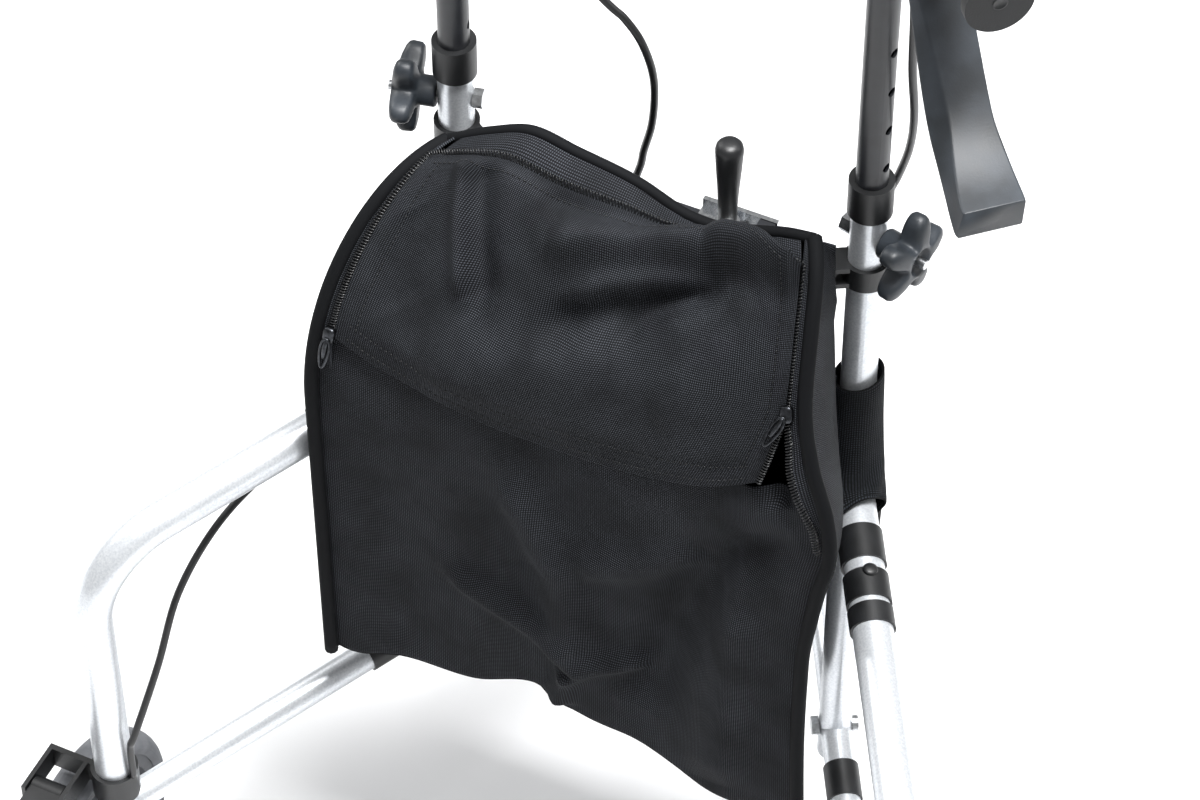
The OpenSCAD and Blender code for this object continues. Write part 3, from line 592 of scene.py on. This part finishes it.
def flap_share(degrees):
    """How far across the flap's right edge lies: below the slider it swings away from the border."""
    past = np.maximum(degrees - RIGHT_SLIDER, 0)
    return zip_share(1, degrees - past) - FLAP_SWING * past


def rim_degrees(share):
    """The angle of the zip behind the rim: on the right the slack flap draws it up close to the rim."""
    places = np.array([-1, 0, 0.16, 0.32, 0.66, 0.8, 1])
    return spread(share, places, np.array([101, 101, 99, 95.5, 95.5, 99.5, 101]))


def between(left, right, across):
    """A share of the width between a left and a right edge, for a place across from -1 to 1."""
    return (right - left) / 2 + across * (right + left) / 2


def flap_points(across, height):
    """The flap: height is 0 on its hem and 1 at the zip behind the rim."""
    x = across * half_width(BAG_BACK) * FLAP_SHARE
    hem = 180 - np.degrees(np.arcsin((spread(x, HEM_X, HEM_Z) - SHOULDER_Z) / SHOULDER_UP))
    top = rim_degrees(between(zip_share(-1, CORNER), zip_share(1, CORNER), across))
    degrees = hem + (top - hem) * height
    share = between(zip_share(-1, degrees), flap_share(degrees), across)
    folds = sum(ridge(share * ACROSS_SCALE, degrees, line, h, w) for line, h, w in FLAP_FOLDS)
    sharp = 9 + 16 * ease((across - 0.1) / 0.3)
    edge = ease((1 - np.abs(across)) * (8 + 10 * ease(across))) * ease((1 - height) * sharp)
    crown = 8 * (1 - across**2) * ease(height * 6)
    band = np.maximum(ease(2.5 - height * 26), ease(2.5 - (1 - np.abs(across)) * 26))
    return shoulder(share, degrees, ((folds + crown) * edge + 1.5 + 0.9 * band) * MM)


across, height = np.meshgrid(np.linspace(-1, 1, 211), np.linspace(0, 1, 171))
flap = thicken(grid_piece("bag_flap", flap_points(across, height), bag_cloth), 1.4 * MM)

# %% [markdown]
# ## Border, piping and side panels
# Outside the zip a border of cloth runs up each side and along the rim. A thick round binding covers the seam
# where it meets the side panels. The front panel slopes down from the rim to clear the folding brace.

# %% Border of the top
BORDER_STEPS = 90


def side_border(side):
    """A strip from the piping to the zip along one side, from the back up over the shoulder to the rim."""
    degrees, part = np.meshgrid(np.linspace(176, 90, BORDER_STEPS), np.linspace(0, 1, 7), indexing="ij")
    share = side * (1 + (zip_share(side, degrees) - 1) * part)
    return shoulder(share, degrees, (0.5 - 1.5 * np.sin(np.pi * part) - 6 * ease((degrees - 160) / 14)) * MM)


def rim_border():
    """A strip along the rim, from the zip to the piping."""
    across, part = np.meshgrid(np.linspace(-0.9, 0.9, BORDER_STEPS), np.linspace(0, 1, 7))
    top = rim_degrees(across)
    return shoulder(across, top + (90 - top) * part, 0.3 * MM)


borders = [grid_piece("bag_left_border", side_border(-1), bag_cloth, flip=True),
           grid_piece("bag_right_border", side_border(1), bag_cloth),
           grid_piece("bag_rim_border", rim_border(), bag_cloth)]
for strip in borders:
    thicken(strip, CLOTH)

# %% Side panels, front and base
BAG_FRONT, FRONT_SLOPE_TOP, FRONT_SLOPE_LOW = 32 * MM, -60 * MM, -118 * MM
PIPING_ENDS = 205.0
RIGHT_BULGE, LEFT_BULGE = 18 * MM, -4 * MM


def side_edge(side, steps=60):
    """The rear edge of a side panel from the base up to the rim."""
    degrees = np.linspace(PIPING_ENDS, 90, steps)
    return shoulder(np.full(steps, float(side)), degrees)


def front_edge(side, steps=60):
    """The front edge of a side panel from the base up to the rim, following the sloping front."""
    z = np.linspace(BAG_LOW, shoulder(float(side), 90.0)[2] - collar_z, steps)
    y = np.interp(z, [FRONT_SLOPE_LOW, FRONT_SLOPE_TOP], [BAG_FRONT, BAG_RIM])
    return np.stack([side * half_width(y), y + upright_y, z + collar_z], -1)


def side_panel(side):
    """A side panel ruled between its rear and front edges. The right one bulges, the left one is drawn in."""
    rear, front = side_edge(side), front_edge(side)
    part = np.linspace(0, 1, 24)[None, :, None]
    sheet = rear[:, None] * (1 - part) + front[:, None] * part
    bulge = RIGHT_BULGE if side > 0 else LEFT_BULGE
    height = np.linspace(0, 1, len(rear))[:, None]
    sheet[..., 0] += side * bulge * np.sin(np.pi * height) * np.sin(np.pi * part[..., 0])
    return sheet


def front_panel():
    """The front panel and the base, ruled between the two side panels."""
    left, right = front_edge(-1), front_edge(1)
    part = np.linspace(0, 1, 60)[None, :, None]
    sheet = left[:, None] * (1 - part) + right[:, None] * part
    rise = spread(np.linspace(-1, 1, 60), RIM_ACROSS, RIM_RISE)
    ends = rise[0] * (1 - part[0, :, 0]) + rise[-1] * part[0, :, 0]
    climb = ease((np.linspace(0, 1, len(left)) - 0.75) * 4)[:, None]
    sheet[..., 2] += climb * (rise - ends)[None]
    return sheet


def base_panel():
    """The base, between the lower edge of the back and the lower edge of the front."""
    across = np.linspace(-1, 1, 80)
    back = back_points(across, np.zeros(80))
    front = np.stack([across * half_width(BAG_FRONT), np.full(80, BAG_FRONT + upright_y),
                      np.full(80, BAG_LOW + collar_z)], -1)
    part = np.linspace(0, 1, 20)[:, None, None]
    return back[None] * (1 - part) + front[None] * part


shell = [grid_piece("bag_left_side", side_panel(-1), bag_cloth, flip=True),
         grid_piece("bag_right_side", side_panel(1), bag_cloth),
         grid_piece("bag_front_panel", front_panel(), bag_cloth, flip=True),
         grid_piece("bag_base", base_panel(), bag_cloth)]
for sheet in shell:
    thicken(sheet, CLOTH, 0)

# %% Piping
PIPING_R, RIM_PIPING_R = 4.6 * MM, 3.68 * MM
rim_line = shoulder(np.linspace(-1, 1, 120), np.full(120, 90.0))
piping = [tube_piece("bag_left_piping", side_edge(-1, 140), PIPING_R, bag_cloth),
          tube_piece("bag_right_piping", side_edge(1, 140), PIPING_R, bag_cloth),
          tube_piece("bag_rim_piping", rim_line, RIM_PIPING_R, bag_cloth)]

# %% [markdown]
# ## The zip
# A coil zip runs up the left side, along the rim and down the right side. Below the right slider its two
# halves part, and the flap hangs open a little.

# %% Zip track
COIL_R, COIL_PITCH, COIL_WIRE = 1.1 * MM, 2.0 * MM, 0.45 * MM
TEETH = 0.012  # how far outside the flap's edge the teeth lie
ZIP_LIFT = 2.4 * MM


def zip_side(side, start):
    """The zip's line up one side, from an angle to the corner."""
    degrees = np.linspace(start, CORNER, 80)
    return shoulder(side * (zip_share(side, degrees) + TEETH), degrees, ZIP_LIFT)


def zip_rim():
    """The zip's line along the rim between the two corners."""
    across = np.linspace(-zip_share(-1, CORNER), zip_share(1, CORNER), 120)
    return shoulder(across, rim_degrees(across), ZIP_LIFT)


def parted_zip(inwards):
    """One half of the open zip below the right slider: the border's, or the flap's, which swings inwards."""
    degrees = np.linspace(RIGHT_SLIDER, 157 if inwards else 171, 60)
    share = flap_share(degrees) + 0.004 if inwards else zip_share(1, degrees) + TEETH
    return shoulder(share, degrees, (2.6 if inwards else 1.8) * MM)


def resample(path, pitch):
    """Points a fixed distance apart along a path."""
    reached = np.r_[0, np.cumsum(np.linalg.norm(np.diff(path, axis=0), axis=1))]
    at = np.arange(0, reached[-1], pitch)
    return np.stack([np.interp(at, reached, path[:, k]) for k in range(3)], -1)


def coil(path):
    """A flattened helix round a path: the coil of the zip, one turn for each pitch."""
    turns = 6
    line = resample(path, COIL_PITCH / turns)
    _, side, up = frames_along(line)
    angle = 2 * np.pi * np.arange(len(line)) / turns
    return line + 2.0 * COIL_R * np.cos(angle)[:, None] * side + 0.6 * COIL_R * np.sin(angle)[:, None] * up


closed_track = np.vstack([zip_side(-1, LEFT_SLIDER), zip_rim()[3:-3], zip_side(1, RIGHT_SLIDER)[::-1]])
track = tube_piece("zip_coil", coil(closed_track), COIL_WIRE, zip_coil, sides=5)
border_half = tube_piece("zip_coil_border_half", coil(parted_zip(False)), COIL_WIRE, zip_coil, sides=5)
flap_half = tube_piece("zip_coil_flap_half", coil(parted_zip(True)), COIL_WIRE, zip_coil, sides=5)

# %% Zip sliders
SLIDER_HALF = (5.5, 4, 3)  # half its length, width and height, in millimetres
SLIDER_LIFT, PULL_LIFT = 3.5 * MM, 3.2 * MM


def slider(name, side, degrees, swing):
    """A zip slider: a rounded body on the coil, and a pull that hangs from it, turned by an angle."""
    share = side * (zip_share(side, degrees) + TEETH)
    at = shoulder(share, degrees, SLIDER_LIFT)
    ahead = at - shoulder(share, degrees + 2, SLIDER_LIFT)
    ahead = ahead / np.linalg.norm(ahead)
    out = shoulder(share, degrees, 9 * MM) - shoulder(share, degrees, 0.0)
    out = out / np.linalg.norm(out)
    beside = np.cross(ahead, out)
    theta, around = np.meshgrid(np.linspace(0, np.pi, 13), round_turn(20), indexing="ij")
    ball = np.cos(theta), np.sin(theta) * np.cos(around), np.sin(theta) * np.sin(around)
    box = [(np.sign(v) * np.abs(v) ** 0.6)[..., None] for v in ball]
    shell = at + sum(half * MM * v * way for half, v, way in zip(SLIDER_HALF, box, (ahead, beside, out)))
    body = grid_piece(name, shell, zip_metal, wrap_cols=True)
    hang = -ahead * math.cos(swing) + beside * math.sin(swing)
    flat = np.cross(hang, out)
    turn = round_turn(48)
    loop_x = (13 + 11 * np.cos(turn)) * MM
    loop_y = (0.7 * np.cos(turn) - 2.9) * MM * np.sin(turn)
    eye = at + PULL_LIFT * out
    loop = eye + loop_x[:, None] * hang + loop_y[:, None] * flat
    pull = tube_piece(name + "_pull", np.vstack([loop, loop[:1]]), 0.9 * MM, zip_metal, sides=8)
    tongue = eye + np.linspace(2, 17, 12)[:, None] * MM * hang
    swell = 1.8 * MM * np.sin(np.linspace(0.5, 2.6, 12))
    blade = tube_piece(name + "_blade", tongue, swell, zip_metal, sides=8)
    return [body, pull, blade]


sliders = slider("zip_slider_left", -1, LEFT_SLIDER, 0.0) + slider("zip_slider_right", 1, RIGHT_SLIDER, -0.6)

# %% [markdown]
# ## Stitching
# A row of thread runs along each hem, about as far from the edge as the hem is folded. Each stitch is a small
# spindle lying on the cloth.

# %% Stitching
STITCH, STITCH_GAP, THREAD = 2.6 * MM, 1.2 * MM, 0.35 * MM


def stitches(name, path, lift):
    """Spindles end to end along a path, raised by a lift vector: four-sided, pointed at both ends."""
    line = resample(path, STITCH + STITCH_GAP) + lift
    ahead, side, up = frames_along(line)
    tips = line[:, None] + np.array([-0.5, 0.5])[None, :, None] * STITCH * ahead[:, None]
    waist = line[:, None] + THREAD * rings(round_turn(4), side, up)
    points = np.concatenate([tips, waist], 1)
    pairs = [(2 + k, 2 + (k + 1) % 4) for k in range(4)]
    one = np.array([[0, b, a] for a, b in pairs] + [[1, a, b] for a, b in pairs])
    faces = one[None] + 6 * np.arange(len(line))[:, None, None]
    return make_piece(name, points, faces.reshape(-1, 3), thread)


thread = grained_plastic("black_thread", "#0c0c0d", "#242527", 0.45, 0.8, 0.1)
sideways, upward = np.linspace(-0.93, 0.93, 160), np.linspace(0.1, 0.93, 160)
# Each row: its name, where it runs across and up the flap, and how far it stands off the cloth.
STITCH_ROWS = [
    ("flap_hem_stitches_0", sideways, 0.035, (0, -0.6, 0.6)),
    ("flap_hem_stitches_1", sideways, 0.1, (0, -0.6, 0.6)),
    ("flap_left_stitches", -0.9, upward, (-0.3, -0.5, 0.6)),
    ("flap_right_stitches", 0.9, upward, (0.3, -0.5, 0.6)),
    ("flap_top_stitches", sideways, 0.93, (0, -0.4, 0.8))]
stitch_rows = [stitches(name, flap_points(*np.broadcast_arrays(across, up)), np.array(lift) * MM)
               for name, across, up, lift in STITCH_ROWS]


def hang(piece, body, slot_name, *stands_for):
    """The cloth rides on a body, with a mesh of its own."""
    finish_piece(piece, body, slot_name, *stands_for)
    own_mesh(piece)


hang(back_panel, "stem", "bag_cloth", "bag_body")
hang(flap, "lid", "bag_cloth", "bag_lid")
for piece in borders + shell + piping + [track, border_half]:
    hang(piece, "stem", "bag_cloth")
for piece in [flap_half] + stitch_rows:
    hang(piece, "lid", "bag_cloth")
for piece in sliders:
    hang(piece, "stem", "zip_metal")
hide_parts("zip_sliders")

# %% [markdown]
# ## Brake cables
# Each cable leaves its lever under the grip. The right one passes in front of its upright, and the left one
# first swings in a free loop in front of the bag. Both run under the arch tube and drop inside the leg to the
# brake. A point is a distance along the side frame, a distance outwards, and a height.

# %% Brake cables
CABLE_D = 5 * MM
upright_run = math.hypot(upright_x - hinge_x, hinge_y - upright_y)
arch_low, arch_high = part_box("right_arch_tube")
arch_r, arch_z = 12.7 * MM, 445 * MM  # the arch tube's radius, and its height where it leaves the upright
leg_at = math.hypot(arch_high.x - arch_r - hinge_x, hinge_y - arch_low.y - arch_r)
grip_z = sum(corner.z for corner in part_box("right_grip")) / 2
axle_z = joints["right_wheel_spin"]["pos_m"][2]


def beside_frame(side, along, out, z):
    """A point beside a side frame: its distance along the frame, its distance outwards and its height."""
    x = hinge_x + along * side_sin + out * side_cos
    return np.array([side * x, hinge_y - along * side_cos + out * side_sin, z])


def arch_route(side):
    """Both cables from the arch tube to the rear brake."""
    steps = [(0, 17, -17), (18, 14, -24), (36, 9, -23.5), (70, 8, -26.5), (108, 7, -30), (150, 5, -37),
             (190, 0, -56), (224, -6, -92), (248, -14, -140)]
    last = [(-10, -18, arch_z - 190 * MM), (-6, -16, axle_z + 150 * MM), (-6, -15, axle_z + 118.3 * MM)]
    return ([beside_frame(side, upright_run + u * MM, v * MM, arch_z + z * MM) for u, v, z in steps]
            + [beside_frame(side, leg_at + u * MM, v * MM, z) for u, v, z in last])


# From the lever to the arch tube, in three stretches with heights from the grip, the collar and the arch.
UPPER_ROUTE = {
    "right": [
        (grip_z, [(24, 11, -33.7), (26, 10, -66), (29, 12, -116)]),
        (collar_z, [(20, 15, 130), (8, 20, 84), (-8, 22, 42), (-22, 19, 4), (-31, 10, -38), (-24, 5, -82)]),
        (arch_z, [(-18, 4, 106), (-17.5, 4, 60), (-17.5, 6, 14), (-14, 12, -6)])],
    "left": [
        (grip_z, [(24, 11, -33.7), (26, 4, -66), (22, -12, -92), (6, -28, -118), (-34, -47, -172)]),
        (collar_z, [(-58, -73, 82), (-66, -82, 70), (-73, -90, 52), (-79, -93, 23), (-82, -88, -16),
                    (-83, -78, -50), (-84, -72, -71), (-83, -56, -114)]),
        (arch_z, [(-74, -36, 83), (-56, -14, 46), (-34, 2, 16), (-15, 12, -6)])]}
for name, side in SIDES:
    upper = [beside_frame(side, upright_run + u * MM, v * MM, level + z * MM)
             for level, stretch in UPPER_ROUTE[name] for u, v, z in stretch]
    route = upper + arch_route(side)
    line = curve_through(route, 8)
    cable = tube_piece(f"{name}_brake_cable", line, CABLE_D / 2, sheath, sides=12)
    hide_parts(f"{name}_cable")
    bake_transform(cable)

# %% [markdown]
# ## Knobs, levers and sleeves
# The clamp knob is a star with five soft lobes and a sunk middle. The lever is a broad blade with a thick
# lip. The webbing sleeves that tie the bag to the uprights sag on to the arch tubes.

# %% Clamp knobs
LOBES = 5
# Out along the axis: a radius, the share of it that follows the lobes, and a distance, in millimetres.
KNOB = [(0.0, 0, 11.6), (9.0, 0, 11.6), (9.5, 0, 12.5), (9.5, 0, 21.2), (13, 0.3, 22.4), (23, 1, 22.8),
        (27, 1, 23.6), (28.6, 1, 25.5), (29, 1, 31.0), (28.2, 1, 33.0), (26, 1, 34.6), (21, 0.9, 36.2),
        (14, 0.4, 37.4), (9.8, 0, 37.6), (8.8, 0, 36.8), (8.2, 0, 33.6), (0.0, 0, 33.4)]


def knob_points(joint):
    """A lobed solid on a joint's axis. A lobe is a cosine round the axis, blunted by a power below one."""
    axis = np.array(joint["axis"], float)
    level = np.cross([0, 0, 1.0], axis)
    level /= np.linalg.norm(level)
    turn = round_turn(120)
    ring = rings(turn, level[None], np.cross(axis, level)[None])[0]
    wave = np.cos(LOBES * turn)
    lobed = 0.74 + 0.26 * np.sign(wave) * np.abs(wave) ** 0.7
    radius, share, out = np.array(KNOB).T[:, :, None]
    size = radius * MM * (1 - share + share * lobed)
    return np.array(joint["pos_m"]) + out[..., None] * MM * axis + size[..., None] * ring


for name, side in SIDES:
    points = knob_points(joints[f"{name}_knob_turn"])
    knob = grid_piece(f"{name}_clamp_knob", points, charcoal, wrap_cols=True)
    finish_piece(knob, f"{name}_knob", "charcoal_plastic", f"{name}_knob")

# %% Brake levers
# Down the blade: the distance from the pivot, the fall in degrees, how far the top face reaches inwards and
# outwards, how far the sloping inner wall reaches, and the thickness.
BLADE = np.array([
    (34, 46, 10.5, 17.0, 13.0, 9.0), (60, 46, 10.5, 17.0, 14.8, 9.5), (85, 46, 9.2, 16.6, 16.4, 10.0),
    (108, 43, 8.4, 16.0, 18.0, 10.5), (126, 36, 9.2, 15.5, 19.0, 11.0), (142, 26, 12.4, 16.4, 19.4, 12.0),
    (156, 16, 15.6, 16.8, 20.2, 14.5), (166, 9, 17.8, 16.8, 21.0, 18.0), (173, 6, 18.8, 16.6, 21.4, 20.0),
    (176, 5, 18.6, 16.2, 21.0, 19.6)])
CHEEK = [(-8, 8), (-6, 13), (0, 16), (10, 14), (30, 13), (52, 9)]  # a distance from the pivot, and a height
CHEEK_APART, CHEEK_HALF, BLADE_ABOVE = 10.4, 1.8, 4 * MM
UP = np.array([0, 0, 1.0])


def lever_axes(side):
    """The lever's pivot, the level direction it reaches in, and the direction across it, outwards."""
    pivot = np.array(joints[("right" if side > 0 else "left") + "_lever_squeeze"]["pos_m"])
    level = pivot - np.array([side * upright_x, upright_y, pivot[2]])
    level /= np.linalg.norm(level)
    return pivot, level, side * np.cross(UP, level)


def falling(level, degrees):
    """The directions along and below a lever that falls from the level by an angle."""
    fall = np.radians(degrees)[..., None]
    return np.cos(fall) * level - np.sin(fall) * UP, -np.sin(fall) * level - np.cos(fall) * UP


def rounded_corners(corners, radius, steps=4):
    """A closed outline with each corner turned into a short curve."""
    corners = np.asarray(corners, float)
    before, after = np.roll(corners, 1, 0) - corners, np.roll(corners, -1, 0) - corners
    start = corners + radius * before / np.linalg.norm(before, axis=1, keepdims=True)
    end = corners + radius * after / np.linalg.norm(after, axis=1, keepdims=True)
    t = np.linspace(0, 1, steps)[None, :, None]
    curve = (1 - t) ** 2 * start[:, None] + 2 * t * (1 - t) * corners[:, None] + t**2 * end[:, None]
    return curve.reshape(-1, 2)


def lever_sections(side):
    """Rings down the blade. It falls steeply, flattens towards its end and flares there into a thick lip."""
    pivot, level, outwards = lever_axes(side)
    rows = curve_through(BLADE, 4)
    ahead, below = falling(level, rows[:, 1])
    steps = np.diff(rows[:, 0], prepend=0)
    line = pivot + BLADE_ABOVE * UP + np.cumsum(steps[:, None] * ahead, axis=0) * MM
    sections = []
    for at, down, (_, _, inner, outer, wall, thick) in zip(line, below, rows):
        outline = [(outer, 0), (-inner, 0), (-wall, 0.8 * thick), (1 - wall, thick), (outer, thick)]
        ring = rounded_corners(outline, 1.3) * MM
        sections.append(at + ring[:, :1] * outwards + ring[:, 1:] * down)
    return sections


def lever_cheek(side, shift):
    """One of the two cheeks that hold the blade on its pin."""
    pivot, level, outwards = lever_axes(side)
    ahead, below = falling(level, BLADE[0, 1])
    sections = []
    for along, tall in CHEEK:
        half = tall / 2
        outline = [(CHEEK_HALF, -half), (-CHEEK_HALF, -half), (-CHEEK_HALF, half), (CHEEK_HALF, half)]
        ring = rounded_corners(outline, 1.0) * MM
        at = pivot + along * MM * ahead + shift * MM * outwards
        sections.append(at + ring[:, :1] * outwards + ring[:, 1:] * below)
    return sections


for name, side in SIDES:
    blade = loft(f"{name}_lever_blade", lever_sections(side), charcoal, flip=side > 0)
    finish_piece(blade, f"{name}_lever", "charcoal_plastic", f"{name}_brake_lever")
    for tag, shift in (("inner", -CHEEK_APART), ("outer", CHEEK_APART)):
        cheek = loft(f"{name}_lever_{tag}_cheek", lever_cheek(side, shift), charcoal, flip=side > 0)
        finish_piece(cheek, f"{name}_lever", "charcoal_plastic")

# %% Webbing sleeves
# Down the sleeve: a distance behind the upright, a height above the arch tube's start, and a radius.
SLEEVE = [(0, 98, 14.0), (0, 91, 14.6), (0, 60, 15.0), (0.5, 33, 16.0), (3, 17, 17.4), (10, 5, 18.0),
          (20, -1.5, 17.6), (27, -3.5, 17.0)]


def sleeve_points(side):
    """A tube of webbing that bends from the upright on to the arch tube, with shallow folds. Both ends are
    cut at a slant, so that it is shorter on the outside."""
    steps = curve_through(np.array(SLEEVE) * MM, 8)
    path = np.array([beside_frame(side, upright_run + u, 0.0, arch_z + z) for u, z, _ in steps])
    ahead, across, up = frames_along(path)
    turn = round_turn(60)
    run = np.linspace(0, 1, len(path))[:, None]
    folds = 0.8 * np.sin(3 * turn + 5 * run) * np.sin(np.pi * run) + 0.9 * np.sin(5 * turn - 9 * run) * run
    ring = rings(turn, across, up)
    outward = beside_frame(side, 0, 1, 0) - beside_frame(side, 0, 0, 0)
    slant = (ring @ outward) * (-7 * run**4 - 4 * (1 - run) ** 6) * MM
    return path[:, None] + (steps[:, 2:] + folds * MM)[..., None] * ring + slant[..., None] * ahead[:, None]


def tongue_points(side):
    """The flat tongue from the sleeve to the bag's side."""
    inwards, heights = np.linspace(-13, -22, 4) * MM, np.linspace(17, 96, 20) * MM
    return np.array([[beside_frame(side, upright_run, out, arch_z + z) for out in inwards] for z in heights])


for name, side in SIDES:
    sleeve = grid_piece(f"{name}_sleeve", sleeve_points(side), webbing, wrap_cols=True, flip=True)
    thicken(sleeve, 1.4 * MM)
    finish_piece(sleeve, f"{name}_frame", "strap_webbing", f"{name}_bag_strap")
    tongue = thicken(grid_piece(f"{name}_sleeve_tongue", tongue_points(side), webbing), 2.0 * MM, 0)
    finish_piece(tongue, f"{name}_frame", "strap_webbing")

# %% Latch handle and band studs


def lathe(name, at, axis, profile, finish, sides=40):
    """A turned piece: each row of the profile is a radius and a distance along the axis, in millimetres."""
    axis = np.array(axis, float) / np.linalg.norm(axis)
    level = np.cross(axis, [0, 1.0, 0] if abs(axis[1]) < 0.9 else [1.0, 0, 0])
    level /= np.linalg.norm(level)
    ring = rings(round_turn(sides), level[None], np.cross(axis, level)[None])[0]
    points = np.array([np.array(at) + d * MM * axis + r * MM * ring for r, d in profile])
    return grid_piece(name, points, finish, wrap_cols=True)


handle_low, handle_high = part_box("latch_handle")
handle_at = ((handle_low.x + handle_high.x) / 2, (handle_low.y + handle_high.y) / 2, handle_low.z)
tall = (handle_high.z - handle_low.z) / MM
lever_knob = lathe("latch_handle_grip", handle_at, (0, 0, 1), [
    (0.0, 0), (3.0, 0), (3.0, 7.5), (5.0, 8), (5.5, 9), (5.8, 20), (6.6, 36), (7.7, 52), (8.4, tall - 9),
    (8.5, tall - 6), (7.9, tall - 3), (6.2, tall - 1), (3.0, tall - 0.1), (0.0, tall)], black_plastic)
finish_piece(lever_knob, "latch", "black_plastic", "latch_handle")
STUD_AT, STUD_UP, ARCH_FALL = 78 * MM, 13.6 * MM, math.radians(6)
for name, side in SIDES:
    centre = beside_frame(side, upright_run + STUD_AT, 0.0, arch_z - STUD_AT * math.tan(ARCH_FALL))
    out = beside_frame(side, 0, 0.12, 0) - beside_frame(side, 0, 0, 0) + 0.99 * UP
    stud = lathe(f"{name}_band_stud", centre + STUD_UP * out, out, [
        (0.0, 0), (4.6, 0), (4.8, 0.6), (4.4, 1.6), (2.6, 2.3), (0.0, 2.5)], black_plastic, 24)
    finish_piece(stud, f"{name}_frame", "black_plastic")

# %% Holes in the grips' ends
for name, side in SIDES:
    low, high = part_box(f"{name}_grip")
    _, level, _ = lever_axes(side)
    start = np.array([side * upright_x, upright_y, grip_z])
    corner = np.array([high.x if side > 0 else low.x, low.y, grip_z])
    half = (high.z - low.z) / 2
    reach = min(((corner - start)[:2] - half * np.abs(level[1::-1]) * np.sign(level[:2])) / level[:2])
    hole = lathe(f"{name}_grip_hole", start + (reach - 0.1 * MM) * level, level, [
        (4.2, 0), (4.2, 0.35), (3.6, 0.45), (3.4, 0.2), (0.0, 0.15)], black_plastic, 24)
    finish_piece(hole, f"{name}_handle", "black_plastic")

# %% Floor
FLOOR_HALF = 6.0
edges = (-FLOOR_HALF, FLOOR_HALF)
floor_grid = np.array([[(x, y, 0.0) for x in edges] for y in edges])
paper, tree, shader = material("white_paper_sweep", Roughness=0.85)
place = node(tree, "ShaderNodeTexCoord").outputs["Object"]
shades = ramp(tree, noise(tree, place, 1000 / 3, 2.0), (0.0, colour("#e8e9ea")), (1.0, colour("#eeeeef")))
tree.links.new(shades, shader.inputs["Base Color"])
floor = grid_piece("floor", floor_grid, paper)

# %% The last line
bpy.context.view_layer.update()
